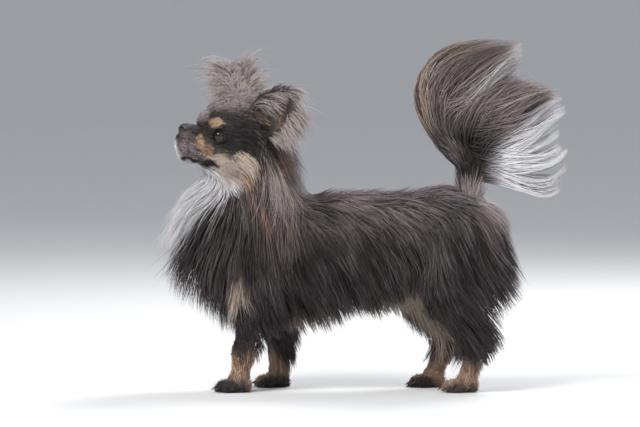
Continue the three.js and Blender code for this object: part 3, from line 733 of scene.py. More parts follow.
# %% [markdown]
# ## Combing
# Each hair starts just under the skin and is walked along the lie in a few steps. It never goes into
# the skin, rises to its stand, and leans towards the leader of its tuft, so that the coat parts into
# locks. Hair that reaches the floor stops above it.

# %% Combing and tufts
rng = np.random.default_rng(11)
FLOOR_CLEAR = 0.6
ROOT_DEPTH = 1.6


def comb(roots, normals, lie, length, stand, steps):
    """Hairs walked from their roots along the lie, until their tips stand off by stand."""
    path = [roots - normals * ROOT_DEPTH]
    path[0][:, 2] = np.maximum(path[0][:, 2], FLOOR_CLEAR)
    p = roots.copy()
    for i in range(1, steps + 1):
        out, _ = outward(p)
        way = lie(p)
        way = unit(way - np.minimum((way * out).sum(-1, keepdims=True), 0) * out)
        p = p + way * (length / steps)[:, None]
        short = stand * (i / steps) ** 0.7 - flesh_field(p)
        p = p + out * np.maximum(short, 0)[:, None]
        p[:, 2] = np.maximum(p[:, 2], FLOOR_CLEAR)
        path.append(p)
    return np.stack(path, 1)


def nearest(places, to):
    """Which of the places is nearest, for each point of to."""
    tree = KDTree(len(places))
    for i, p in enumerate(places):
        tree.insert(p, i)
    tree.balance()
    return np.array([tree.find(p)[1] for p in to])


def gather(paths, tuft, pull, by=0):
    """Lean each hair to the leader of its tuft, more towards the tip; also a tone its tuft shares.

    Tufts are told apart at the point numbered by.
    """
    leaders = rng.choice(len(paths), max(1, len(paths) // tuft), replace=False)
    mine = leaders[nearest(paths[leaders, by], paths[:, by])]
    along = np.linspace(0, 1, paths.shape[1])[None, :, None]
    strength = pull * rng.uniform(0.5, 1, (len(paths), 1, 1))
    tone = (rng.random(len(paths))[mine] + rng.random(len(paths))) / 2
    return paths + (paths[mine] - paths) * strength * along**1.2, tone


withers = np.array([COAT["withers"][0]], float)
print("the place called withers stands", flesh_field(withers).round(1), "mm off the skin")

# %% [markdown]
# ## A hair as a solid
# A hair could be a curve or a card. It is a solid with three sides here, flat below and ridged above,
# that narrows to a point, because solids keep their shape in any program. Each one carries the place
# of its root, how far along it is, and a tone (called chance), which the material reads. On the
# unwrap each hair is a small patch where its root stands.

# %% Hairs as one mesh
PATCH = 0.003
MOST_TRIANGLES = 190000
FULLEST = 0.3


def hairs(name, paths, width, material_slot, up=None, chance=None):
    """Meshes of hairs along paths (hair, step, xyz), split so that none grows too large."""
    chance = rng.random(len(paths)) if chance is None else chance
    steps = paths.shape[1]
    each = 6 * (steps - 2) + 4
    pieces = math.ceil(len(paths) * each / MOST_TRIANGLES)
    made = []
    for k, part in enumerate(np.array_split(np.arange(len(paths)), pieces)):
        piece_up = None if up is None else up[part]
        piece_name = f"{name}_{k + 1}"
        made.append(hair_piece(piece_name, paths[part], width[part], material_slot, piece_up, chance[part]))
    return made


def hair_points(paths, width, up):
    """Three corners round each step of each hair, and its tip."""
    count, steps = paths.shape[:2]
    along = unit(np.gradient(paths, axis=1))
    side = unit(np.cross(along, up[:, None, :]))
    high = np.cross(side, along)
    t = np.linspace(0, 1, steps)
    narrowing = (1 - np.clip(t - FULLEST, 0, 1) / (1 - FULLEST)) ** 0.8
    half = (width[:, None] / 2 * np.where(t < FULLEST, 0.7 + t, narrowing))[:, :-1, None]
    middle = paths[:, :-1]
    ring = np.stack([
        middle + side[:, :-1] * half,
        middle + high[:, :-1] * half * 0.8,
        middle - side[:, :-1] * half,
    ], 2)
    return np.concatenate([ring.reshape(count, -1, 3), paths[:, -1:]], 1)


def hair_faces(rings):
    """The corners of all faces of one hair, in a row, and how many corners each face has."""
    quads = [
        (r * 3 + s, r * 3 + (s + 1) % 3, (r + 1) * 3 + (s + 1) % 3, (r + 1) * 3 + s)
        for r in range(rings - 1) for s in range(3)
    ]
    corners = [i for quad in quads for i in quad[::-1]]
    tip = rings * 3
    last = tip - 3
    for s in range(3):
        corners += [tip, last + (s + 1) % 3, last + s]
    corners += [0, 1, 2]
    return np.array(corners), np.array([4] * len(quads) + [3] * 4)


def carry(mesh, name, kind, field, values):
    """Keep one value or vector per point on the mesh, for its material."""
    made = mesh.attributes.new(name, kind, "POINT")
    made.data.foreach_set(field, np.asarray(values, np.float32).reshape(-1))


def hair_piece(name, paths, width, material_slot, up, tone):
    """One mesh of many hairs, with all that their material and the unwrap need."""
    count, steps = paths.shape[:2]
    rings = steps - 1
    per = rings * 3 + 1
    up = outward(paths[:, 1])[0] if up is None else up
    points = hair_points(paths, width, up)
    corners, sizes = hair_faces(rings)
    loops = (corners[None] + per * np.arange(count)[:, None]).reshape(-1)
    totals = np.tile(sizes, count)
    starts = np.concatenate([[0], np.cumsum(totals)[:-1]])
    mesh = bpy.data.meshes.new(name)
    mesh.vertices.add(count * per)
    mesh.vertices.foreach_set("co", to_frame(points).astype(np.float32).reshape(-1))
    mesh.loops.add(len(loops))
    mesh.loops.foreach_set("vertex_index", loops.astype(np.int32))
    mesh.polygons.add(len(totals))
    mesh.polygons.foreach_set("loop_start", starts.astype(np.int32))
    mesh.update(calc_edges=True)
    mesh.shade_smooth()
    position = np.concatenate([np.repeat(np.linspace(0, 1 - 1 / rings, rings), 3), [1]])
    across = np.concatenate([np.tile([-0.5, 0, 0.5], rings), [0]])
    carry(mesh, "root", "FLOAT_VECTOR", "vector", np.repeat(to_frame(paths[:, 0]), per, 0))
    carry(mesh, "along", "FLOAT", "value", np.tile(position, count))
    carry(mesh, "chance", "FLOAT", "value", np.repeat(tone, per))
    spot = face_uv[[skin_tree.find(p)[1] for p in paths[:, 0]]]
    uv = spot[:, None] + PATCH * np.stack([across, position - 0.5], -1)[None]
    layer = mesh.uv_layers.new(name="OFBake")
    layer.data.foreach_set("uv", uv.reshape(-1, 2)[loops].astype(np.float32).reshape(-1))
    made = add_object(name, mesh, material_slot)
    print(name, count, "hairs,", count * (2 * int((sizes == 4).sum()) + 4), "triangles")
    return made


# %% [markdown]
# ## Sowing
# Roots are drawn over the skin by area. The face and feet get many short hairs, and the rest gets
# fewer and longer ones, which overlap many times.

# %% Sowing roots on the skin
THIN = 1.0
coat_pieces = []


def sow(count, wanted):
    """Roots and normals for count hairs, spread over the quads by area times wanted."""
    weight = quad_areas * wanted
    chosen = rng.choice(len(weight), int(count * THIN), p=weight / weight.sum())
    corners = quad_corners[chosen]
    a, b = rng.random((2, len(chosen), 1))
    low = corners[:, 0] * (1 - a) + corners[:, 1] * a
    high = corners[:, 3] * (1 - a) + corners[:, 2] * a
    return low * (1 - b) + high * b, quad_normals[chosen]


def grow(name, count, wanted, steps, width, tuft, pull, spread, material_slot):
    """Sow, comb and gather hairs; tuft is how many share a leader, spread how far each strays."""
    roots, normals = sow(count, wanted)
    _, length, stand = coat_at(roots)
    length = length * rng.uniform(0.75, 1.15, len(roots))
    stand = stand * rng.uniform(0.35, 1.2, len(roots))
    noise = rng.normal(0, spread, roots.shape)
    paths = comb(roots, normals, lambda p: unit(coat_at(p)[0] + noise), length, stand, steps)
    paths, tone = gather(paths, tuft, pull)
    thick = width * rng.uniform(0.7, 1.3, len(roots))
    coat_pieces.extend(hairs(name, paths, thick, material_slot, chance=tone))


def ear_distance(p):
    """The distance to the nearer ear, worked out only close to it."""
    found = np.full(len(p), 99.0)
    for ear in ears.values():
        low, high = ear.box(4)
        inside = ((p > low) & (p < high)).all(1)
        found[inside] = np.minimum(found[inside], ear(p[inside]))
    return found


print("share of the hair that is grown:", THIN)

# %% [markdown]
# ## Where hair grows
# Every quad of the skin is asked what it belongs to. None grows on lids, lips, nose or soles, and
# the ears and the tail get theirs later, each in its own way.

# %% Bare and hairy parts of the skin
EAR_MARGIN = 0.6
BURIED = -1.2
TAIL_MARGIN = 13
TAIL_FROM_Z = 176
LIDS_BARE = 7.9
LIPS_BARE = 1.6
NOSE_BARE = [9, 9, 6.5]
SOLE = 1.2
SHORT_COAT = 12
on_ear = ear_distance(quad_centres) < EAR_MARGIN
quad_field = flesh_field(quad_centres)
on_surface = quad_field > BURIED
_, quad_length, _ = coat_at(quad_centres)
tail_middle = tail_bone(np.linspace(0.06, 1, 60))
to_tail = np.linalg.norm(quad_centres[:, None] - tail_middle, axis=-1).min(1)
on_tail = (to_tail < TAIL_MARGIN) & (quad_centres[:, 2] > TAIL_FROM_Z)
on_head = np.arange(len(quad_centres)) < len(face_quads)
on_face = np.zeros(len(quad_centres), bool)
for side in (1, -1):
    centre = eye_frame(side)[0] + eye_frame(side)[1] * 4
    on_face |= np.linalg.norm(quad_centres - centre, axis=1) < LIDS_BARE
for a, b in zip(mouth_line(0, 0)[:-1], mouth_line(0, 0)[1:]):
    on_face |= Limb(a, b, LIPS_BARE, LIPS_BARE)(quad_centres) < 0
nose_place = turn_head((-166, 0, 235))
on_face |= np.linalg.norm((quad_centres - nose_place) / NOSE_BARE, axis=1) < 1
under_foot = quad_centres[:, 2] < SOLE
bare = on_ear | on_face | under_foot | on_tail | ~on_surface
short = quad_length < SHORT_COAT
print("quads with short hair", int((short & ~bare).sum()), "long", int((~short & ~bare).sum()))

# %% [markdown]
# ## Growing the coat
# The counts are a bargain: enough to hide the skin, few enough for the whole dog to stay light. Long
# hair gathers in larger tufts than short hair.

# %% The coat of head, body and legs
RUFF_TO_X = -50
in_ruff = quad_centres[:, 0] < RUFF_TO_X
long_on_body = ~bare & ~short & ~on_head
# name, hairs, where, steps, width, tuft, pull, spread, slot
grow("coat_face", 11800, ~bare & short & on_head, 3, 0.55, 6, 0.3, 0.10, "dark_fur")
grow("coat_feet", 3600, ~bare & short & ~on_head, 3, 0.7, 6, 0.3, 0.10, "tan_fur")
grow("coat_cheeks", 4000, ~bare & ~short & on_head, 5, 0.65, 9, 0.5, 0.12, "ruff_fur")
grow("coat_ruff", 11200, long_on_body & in_ruff, 5, 0.8, 16, 0.75, 0.11, "ruff_fur")
grow("coat_body", 12200, long_on_body & ~in_ruff, 5, 0.85, 14, 0.7, 0.10, "dark_fur")


# %% [markdown]
# ## The mane
# Behind each ear a few long pale strands fall over the neck. They could be drawn one by one. They
# follow one curve with chance offsets instead, and are then laid onto the neck.

# %% The mane's long strands
MANE = np.array([(-80, 30, 226), (-77, 37, 210), (-73, 43, 190), (-75, 46, 166), (-84, 45, 138)], float)


def mane(count, steps=9, width=0.7):
    """Long loose strands that fall from behind each ear and lie on the neck."""
    count = int(count * THIN)
    side = rng.choice([-1, 1], count)
    share = rng.uniform(0.55, 1, count)
    t = np.linspace(0, 1, steps)[None] * share[:, None]
    paths = curve(MANE, t.reshape(-1)).reshape(count, steps, 3)
    start = rng.normal(0, 1, (count, 3)) * [6, 2, 6]
    drift = rng.normal(0, 1, (count, 3)) * [15, 2.5, 6]
    paths = paths + start[:, None] + drift[:, None] * t[..., None]
    paths[..., 1] *= side[:, None]
    wanted = np.where(t > 0, 4 + 5 * t, -1.2)
    for _ in range(3):
        out, here = outward(paths.reshape(-1, 3))
        step = wanted - here.reshape(count, steps)
        paths = paths + out.reshape(count, steps, 3) * step[..., None]
    paths, tone = gather(paths, 6, 0.6)
    return hairs("coat_mane", paths, rng.uniform(0.7, 1.2, count) * width, "ruff_fur", chance=tone)


coat_pieces.extend(mane(420))

# %% [markdown]
# ## The plume
# Hair grows from the whole length of the tail, leaves it along the bone, and the air carries it back
# into a fan. The strands below were read off the photo's side view, from the forward edge of the fan
# round to its lower edge. A hair takes its course between two of them.

# %% The plume
STRANDS = [
    [(76, 209), (51, 231), (40, 261), (51, 292), (76, 310), (110, 317)],
    [(78, 211), (58, 243), (65, 279), (96, 306), (138, 314)],
    [(79, 214), (74, 238), (92, 265), (119, 297), (142, 313)],
    [(81, 214), (92, 247), (114, 272), (140, 285)],
    [(85, 214), (110, 238), (137, 256), (159, 269), (178, 270)],
    [(87, 213), (114, 225), (146, 238), (162, 252), (180, 262)],
    [(90, 211), (119, 211), (146, 216), (163, 223), (180, 234)],
    [(92, 207), (123, 202), (155, 202), (173, 208), (184, 219)],
    [(94, 204), (123, 193), (146, 181), (165, 180), (180, 196)],
    [(95, 202), (119, 191), (137, 182), (157, 174), (170, 176)],
]
FINE = 61
courses = np.array([curve(np.array(row, float), np.linspace(0, 1, FINE)) for row in STRANDS])


def course(u, t):
    """The point x, z at t along the course u, which counts the strands."""
    last = len(STRANDS) - 1
    u = np.clip(u, 0, last)
    i, j = np.minimum(u.astype(int), last - 1), np.minimum((t * (FINE - 1)).astype(int), FINE - 2)
    f, g = (u - i)[..., None], (t * (FINE - 1) - j)[..., None]
    near = courses[i, j] * (1 - g) + courses[i, j + 1] * g
    far = courses[i + 1, j] * (1 - g) + courses[i + 1, j + 1] * g
    return near * (1 - f) + far * f


# the lower hair parts into wisps of unequal reach, WISPS of them to a course
WISPS = 1.7
PLUME_START = 0.14
wisp_count = int(len(STRANDS) * WISPS) + 3
wisp_place = np.arange(wisp_count) / WISPS + rng.normal(0, 0.07, wisp_count)
wisp_reach = rng.uniform(0.84, 1.04, wisp_count)


def plume(name, count, steps, width, shortest, tuft, stray=0.0):
    """Hairs of the fan: shortest is the least share of a course, stray how far one leaves it."""
    count = int(count * THIN)
    last = len(STRANDS) - 1
    u = rng.uniform(-0.3, last + 0.3, count)
    layer = rng.uniform(-1, 1, count)
    wisp = np.round((np.clip(u, 0, last) + layer * 0.17) * WISPS).astype(int)
    lower = smooth(u, 3.0, 5.5)
    forward = 1 - np.clip(u / last, 0, 1)
    place = rng.uniform(PLUME_START, 0.34 + 0.64 * forward)
    joins = (place - PLUME_START) * 0.42 * forward
    root = tail_bone(place)
    reach = 1 - (1 - shortest) * rng.random(count) ** 1.5
    reach = reach * (1 - (1 - wisp_reach[wisp]) * lower)
    s = np.linspace(0, 1, steps)[None]
    t = joins[:, None] + (1 - joins[:, None]) * s * reach[:, None]
    drift = rng.normal(0, 0.35 + stray, count)[:, None] * s**1.3
    wave = np.sin(s * 6 + rng.uniform(0, 6, count)[:, None]) * s * (0.12 + stray)
    pulled = ((wisp_place[wisp] - u) * lower * 0.85)[:, None] * s**1.4
    flat = course(u[:, None] + (drift + wave) * (1 - 0.75 * lower[:, None]) + pulled, t)
    aside = (root[:, [0, 2]] - course(u, joins))[:, None] * (1 - s[..., None]) ** 2
    flat = flat + aside
    spread = (15 * smooth(s, 0, 0.4) - 5 * smooth(s, 0.4, 1)) * layer[:, None]
    spread = spread + (rng.normal(0, 2 + 10 * stray, count)[:, None]) * s
    paths = np.stack([flat[..., 0], spread, flat[..., 1]], -1)
    paths, tone = gather(paths, tuft, 0.66, by=steps - 3)
    up = unit(np.stack([0 * u, np.sign(layer) + 0.01, 0.2 + 0 * u], -1))
    return hairs(name, paths, rng.uniform(0.7, 1.3, count) * width, "plume_fur", up, tone)


coat_pieces.extend(plume("coat_plume", 6300, 8, 0.9, 0.45, 18))
coat_pieces.extend(plume("coat_plume_loose", 350, 10, 0.6, 0.8, 5, 0.2))


def stalk_hair(count):
    """Close hair round the lower part of the tail."""
    count = int(count * THIN)
    place = rng.uniform(0.0, 0.75, count)
    turn = rng.uniform(0, 2 * math.pi, count)
    middle = tail_bone(place)
    along = unit(tail_bone(place + 0.02) - tail_bone(place - 0.02))
    side = np.array([0.0, 1.0, 0.0])
    back = unit(np.cross(np.broadcast_to(side, along.shape), along))
    normal = np.cos(turn)[:, None] * back + np.sin(turn)[:, None] * side
    radius = tail_radius(place) - 1.2
    root = middle + normal * radius[:, None]
    size = rng.uniform(10, 20, count)[:, None]
    s = np.linspace(0, 1, 5)[:, None, None]
    paths = root + (along * 0.95 * s + normal * (0.15 + 0.3 * s)) * s * size
    paths = np.moveaxis(paths, 0, 1)
    return hairs("coat_stalk", paths, rng.uniform(0.6, 1.1, count), "dark_fur", normal)


coat_pieces.extend(stalk_hair(1900))

# %% [markdown]
# ## Ears
# The back of an ear has close hair that runs to the tip, the rim carries a fringe that the air moves,
# and inside only a few long pale hairs rise from the root.

# %% Hair on the ears
EAR_REACH = 52
KEPT_PAST_REACH = 0.4


def ear_hair(name, ear, count, low, high, edge, inner, length, blows, steps=5, width=0.6, wild=0.1):
    """Hairs from t in low..high and |s| over edge; blows is the air's pull at s = -1 and at s = 1."""
    count = int(count * THIN)
    t = rng.uniform(low, high, count)
    s = rng.uniform(edge, 1, count) * rng.choice([-1, 1], count)
    normal = ear.normal(t, s) * (1 if inner else -1)
    roots = ear.point(t, s) + normal * EAR_THICK / 2
    share = smooth(s, -0.6, 0.6)[:, None]
    blow = np.array(blows[0]) * (1 - share) + np.array(blows[1]) * share
    run = unit(turn_way(ear.along) + (s * 0.55)[:, None] * turn_way(ear.across) + blow * 0.4)
    size = length * rng.uniform(0.45, 1.25, count)
    drift = rng.normal(0, wild, (count, 3)) * [1, 0.5, 1]
    paths = [roots - normal * 0.8]
    p = roots
    for i in range(1, steps + 1):
        f = i / steps
        way = unit(run * (1.2 - f) + normal * 0.25 * (1 - f) + blow * f * 1.6 + drift * (0.5 + 2 * f))
        p = p + way * (size / steps)[:, None]
        paths.append(p)
    paths, tone = gather(np.stack(paths, 1), 7, 0.55)
    aside = paths[..., 1] + SHIFT[1]
    past = np.maximum(np.abs(aside) - EAR_REACH, 0)
    paths[..., 1] -= np.sign(aside) * past * (1 - KEPT_PAST_REACH)
    coat_pieces.extend(hairs(name, paths, rng.uniform(0.7, 1.2, count) * width, "ear_fur", normal, tone))


LEFT_AIR = [(0.8, 0.1, -0.95), (0.5, 0.1, -1.0)]
RIGHT_AIR = [(0.8, 0.05, 0.25), (-0.8, -0.1, -0.3)]
STILL = [(0.3, 0, -0.1), (0.3, 0, -0.1)]
ear_hair("ear_left_back", ears["ear_left"], 1600, 0.0, 0.97, 0, False, 10, STILL, 3)
ear_hair("ear_left_inside", ears["ear_left"], 1500, 0.0, 0.98, 0, True, 12, STILL, 4)
ear_hair("fringe_left", ears["ear_left"], 1500, 0.0, 0.96, 0.72, False, 26, LEFT_AIR, 7, 0.6, 0.16)
ear_hair("fringe_left_strands", ears["ear_left"], 200, 0.1, 0.9, 0.4, True, 40, LEFT_AIR, 9, 0.7, 0.2)
ear_hair("fringe_right_back", ears["ear_right"], 1200, 0.0, 0.97, 0, False, 9, STILL, 3)
ear_hair("ear_right_inside", ears["ear_right"], 500, 0.0, 0.75, 0, True, 12, STILL, 4)
ear_hair("fringe_right", ears["ear_right"], 1500, 0.0, 0.9, 0.5, False, 24, RIGHT_AIR, 7, 0.6, 0.26)
ear_hair("fringe_right_strands", ears["ear_right"], 240, 0.1, 0.85, 0.2, False, 38, RIGHT_AIR, 9, 0.7, 0.3)

# %% [markdown]
# ## Shader helpers
# Materials are written as sums: a wire is one socket, and arithmetic on it adds Math nodes. One
# method makes every other node.

# %% Wires
class Wire:
    """One output socket of a material's nodes."""

    def __init__(self, tree, socket):
        self.tree, self.socket = tree, socket

    def node(self, kind, settings=None, inputs=None, out=0):
        made = self.tree.nodes.new(kind)
        for key, value in (settings or {}).items():
            if key == "stops":
                ramp = made.color_ramp
                while len(ramp.elements) < len(value):
                    ramp.elements.new(0.5)
                for element, (place, colour) in zip(ramp.elements, value):
                    element.position, element.color = place, (*colour, 1)
            else:
                setattr(made, key, value)
        for key, value in (inputs or {}).items():
            if isinstance(value, Wire):
                self.tree.links.new(value.socket, made.inputs[key])
            elif isinstance(value, tuple) and len(value) == 3 and made.inputs[key].type == "RGBA":
                made.inputs[key].default_value = (*value, 1)
            else:
                made.inputs[key].default_value = value
        return Wire(self.tree, made.outputs[out])

    def maths(self, operation, a, b):
        return self.node("ShaderNodeMath", {"operation": operation}, {0: a, 1: b})

    def __add__(self, other):
        return self.maths("ADD", self, other)

    def __sub__(self, other):
        return self.maths("SUBTRACT", self, other)

    def __rsub__(self, other):
        return self.maths("SUBTRACT", other, self)

    def __mul__(self, other):
        return self.maths("MULTIPLY", self, other)

    __radd__, __rmul__ = __add__, __mul__

    def ramp(self, low, high):
        """0 below low and 1 above high, smooth between; low may be the larger."""
        inputs = {"Value": self, "From Min": low, "From Max": high}
        return self.node("ShaderNodeMapRange", {"interpolation_type": "SMOOTHSTEP"}, inputs)

    def between(self, low, high):
        """The colour low where this wire is 0, and high where it is 1."""
        return self.node("ShaderNodeMix", {"data_type": "RGBA"}, {0: self, 6: low, 7: high}, out=2)

    def over(self, colour, factor):
        """This colour, covered by another one as far as factor says."""
        return factor.between(self, colour)

    def vector(self, operation, *values, out=0):
        inputs = dict(enumerate((self, *values)))
        return self.node("ShaderNodeVectorMath", {"operation": operation}, inputs, out)

    def noise(self, scale, detail=2.0, out=0):
        return self.node("ShaderNodeTexNoise", {}, {"Vector": self, "Scale": scale, "Detail": detail}, out)

    def scaled(self, factor):
        return self.node("ShaderNodeVectorMath", {"operation": "SCALE"}, {0: self, "Scale": factor})

    def axes(self):
        """Its x, y and z as three wires."""
        split = self.node("ShaderNodeSeparateXYZ", {}, {0: self}).socket.node
        return [Wire(self.tree, split.outputs[k]) for k in range(3)]

    def spot(self, centre, radii):
        """1 inside a soft-edged ellipsoid round centre, 0 outside it."""
        away = self.vector("SUBTRACT", centre).vector("DIVIDE", radii).vector("LENGTH", out=1)
        return away.ramp(1.12, 0.62)


def material(name, roughness, specular=0.5):
    made = bpy.data.materials.new(name)
    made.use_nodes = True
    tree = made.node_tree
    shader = tree.nodes["Principled BSDF"]
    shader.inputs["Roughness"].default_value = roughness
    shader.inputs["Specular IOR Level"].default_value = specular
    return made, Wire(tree, shader.outputs[0]), shader


def feed(wire, shader, name):
    wire.tree.links.new(wire.socket, shader.inputs[name])


# %% [markdown]
# ## Markings and painted light
# The dog is dark grey-brown with tan points, a white bib and pale ends to the plume. On the body the
# colours also hold painted light: darker low down, and lighter with a painted lilac sheen on top. All
# of it is a function of place alone, so the skin reads it at its surface and each hair at its root, and
# both agree. Edges are broken by noise, as hair breaks them.

# %% Colours and where they lie
DEEP = (0.022, 0.017, 0.017)
DARK = (0.036, 0.028, 0.028)
GREY_BROWN = (0.11, 0.088, 0.085)
LILAC = (0.25, 0.205, 0.215)
RUST = (0.27, 0.135, 0.095)
WHITE = (0.84, 0.83, 0.85)
TAN = (0.46, 0.30, 0.205)
BROW_TAN = (0.60, 0.42, 0.28)
CREAM = (0.73, 0.60, 0.48)
BLACK = (0.010, 0.008, 0.008)
PEPPER = (0.20, 0.155, 0.165)
GOLD = (0.33, 0.24, 0.165)
PALE = (0.46, 0.39, 0.38)
SILVER = (0.55, 0.48, 0.46)
# place, radii, colour, strength: each a soft-edged spot, mirrored on the dog's other side
BODY_SPOTS = [
    ((-70, 0, 222), (18, 44, 46), LILAC, 0.55),
    ((-118, 34, 108), (13, 16, 15), CREAM, 0.9),
    ((-20, 0, 84), (70, 22, 12), CREAM, 0.5),
    ((38, 0, 96), (36, 30, 18), CREAM, 0.75),
    ((54, 10, 70), (24, 16, 40), CREAM, 0.6),
    ((96, 0, 192), (15, 16, 24), BLACK, 0.95),
    ((101, 0, 170), (21, 34, 19), PALE, 0.95),
    ((-100, 29, 24), (40, 16, 22), TAN, 0.75),
    ((74, 29, 18), (40, 16, 22), TAN, 0.75),
]
HEAD_SPOTS = [
    ((-120, 0, 267), (46, 36, 23), LILAC, 0.95),
    ((-148, 7, 247), (7, 12, 9), PALE, 0.6),
    ((-112, 31, 228), (30, 15, 21), DEEP, 1.0),
    ((-134, 24, 228), (15, 13, 12), DEEP, 1.0),
    ((-158, 0, 233), (18, 10, 8), GREY_BROWN, 0.9),
    ((-160, 11, 218), (16, 10, 12), PEPPER, 0.95),
    ((-153, 12, 224), (5.5, 9, 8), TAN, 0.85),
    ((-147, 16, 216), (7, 9, 7), TAN, 0.75),
    ((-172, 0, 216), (7, 9, 11), WHITE, 0.8),
    ((-138, 18, 206), (15, 16, 8), CREAM, 0.95),
    ((-117, 28, 207), (11, 14, 10), CREAM, 1.0),
    ((-124, 20, 196), (20, 18, 4.5), TAN, 0.75),
    ((-140, 23, 241.5), (7.4, 9, 5.0), BROW_TAN, 1.0),
    ((-98, 28, 243), (5, 9, 8), TAN, 0.6),
    ((-148, 15, 204), (8, 8, 4.2), BLACK, 1.0),
    ((-156, 11, 207), (7, 7, 2.6), BLACK, 1.0),
    ((-163, 5, 209.5), (7, 8, 2.0), BLACK, 1.0),
    ((-158, 0, 204), (7, 8, 4), WHITE, 0.6),
    ((-137, 22, 228.5), (9.5, 10, 8.0), BLACK, 1.0),
]


def mirrored(place):
    """The same place on the dog's right side."""
    return place.vector("MAXIMUM", place.vector("MULTIPLY", (1, -1, 1)))


def markings_and_painted_light(place):
    """The colour of the coat at a place in metres of the frame, with painted light on the body: darker low
    down, lighter with a lilac sheen on top.
    """
    mm = place.vector("MULTIPLY", (1000, 1000, 1000)).vector("SUBTRACT", tuple(SHIFT))
    ragged = mm.noise(0.12, 3, out=1).vector("SUBTRACT", (0.5, 0.5, 0.5)).scaled(9)
    mm = mm.vector("ADD", ragged)
    folded = mirrored(mm)
    x, y, z = folded.axes()
    streak = mm.noise(0.035, 3).ramp(0.42, 0.62)
    # painted light from above: the coat is darker low on the body and lighter towards the top; the streaks
    # in both are the coat's own
    upper = z.ramp(105, 178)
    colour = streak.between(DEEP, DARK).over(streak.between(DARK, GREY_BROWN), upper)
    # painted sheen: lilac laid over the upper back, where light from above falls
    colour = colour.over(LILAC, z.ramp(152, 182) * x.ramp(-70, -40) * 0.5)
    mane_place = x.ramp(-118, -100) * x.ramp(-62, -84) * z.ramp(150, 175) * z.ramp(262, 240)
    colour = colour.over(RUST, mane_place * mm.noise(0.06, 2).ramp(0.42, 0.6) * 0.75)
    bib = (0.9 * z - x - 287).ramp(-2, 9) * z.ramp(212, 200) * y.ramp(36, 22) * z.ramp(112, 140)
    colour = colour.over(WHITE, bib)
    for centre, radii, tint, strength in BODY_SPOTS:
        colour = colour.over(tint, folded.spot(centre, radii) * strength)
    turn = {"Vector": mm, "Center": tuple(HEAD_PIVOT), "Angle": -HEAD_TURN}
    straight = mirrored(mm.node("ShaderNodeVectorRotate", {"rotation_type": "Z_AXIS"}, turn))
    for centre, radii, tint, strength in HEAD_SPOTS:
        colour = colour.over(tint, straight.spot(centre, radii) * strength)
    return colour


print(len(BODY_SPOTS), "spots on the body and", len(HEAD_SPOTS), "on the head")

# %% [markdown]
# ## Skin material
# Under a dense coat the skin is seldom seen. It is painted a little darker than the hair above it, as shade
# from the coat, with a fine bump along it that reads as short flat fur on face and feet.

# %% Skin material
def skin_material():
    made, base, shader = material("skin_with_short_fur", 0.7, 0.3)
    geometry = base.node("ShaderNodeNewGeometry")
    colour = markings_and_painted_light(geometry)
    fine = geometry.noise(900, 4)
    # painted shade from the coat: the skin is darkened towards black, more where the fine noise is low
    colour = colour.over(BLACK, fine.ramp(0.65, 0.35) * 0.35 + 0.15)
    feed(colour, shader, "Base Color")
    bump = base.node("ShaderNodeBump", {}, {"Strength": 0.35, "Distance": 0.0006, "Height": fine})
    feed(bump, shader, "Normal")
    return made


skin.data.materials.append(skin_material())
print("the skin's material has", len(skin.active_material.node_tree.nodes), "nodes")

# %% [markdown]
# ## Hair materials
# A hair takes the colour of the markings at its root, lighter or darker by the tone of its tuft, and
# some hairs pale towards their tips. Lilac hairs, more of them high on the body, are partly the coat's
# own colour and partly painted sheen from above. The plume has no markings under it, so its colour
# goes by how far out a point of the fan lies.

# %% Hair materials
def hair_inputs(base):
    """Root, distance along the hair and tone, as the hair meshes carry them."""
    root = base.node("ShaderNodeAttribute", {"attribute_name": "root"}, out=1)
    along = base.node("ShaderNodeAttribute", {"attribute_name": "along"}, out=2)
    tone = base.node("ShaderNodeAttribute", {"attribute_name": "chance"}, out=2)
    return root, along, tone


def hair_material(name, tip_colour, tip_from, tip_strength, roughness=0.5, lilac_and_sheen=0.5, tip_to=1.0):
    """The tip's colour comes in from tip_from to tip_to along the hair; silver says how many hairs
    are lilac, partly the coat's own colour and partly painted sheen, most of them on the upper parts, where
    light from above falls."""
    made, base, shader = material(name, roughness, 0.35)
    root, along, tone = hair_inputs(base)
    colour = markings_and_painted_light(root)
    bright = colour.vector("DOT_PRODUCT", (0.33, 0.33, 0.33), out=1).ramp(0.12, 0.5)
    light = colour.scaled(2.1).over(colour.scaled(1.12), bright)
    deep = colour.scaled(0.45).over(colour.scaled(0.78), bright)
    colour = deep.over(light, tone.ramp(0.15, 0.85))
    # painted sheen: more lilac hairs higher on the body, as light from above falls on the top
    height = root.axes()[2].ramp(0.07, 0.17) * 0.75 + 0.25
    colour = colour.over(LILAC, tone.ramp(0.6, 0.85) * along.ramp(0.1, 0.6) * height * lilac_and_sheen)
    colour = colour.over(tip_colour, along.ramp(tip_from, tip_to) * tone.ramp(0.0, 0.45) * tip_strength)
    feed(colour, shader, "Base Color")
    return made


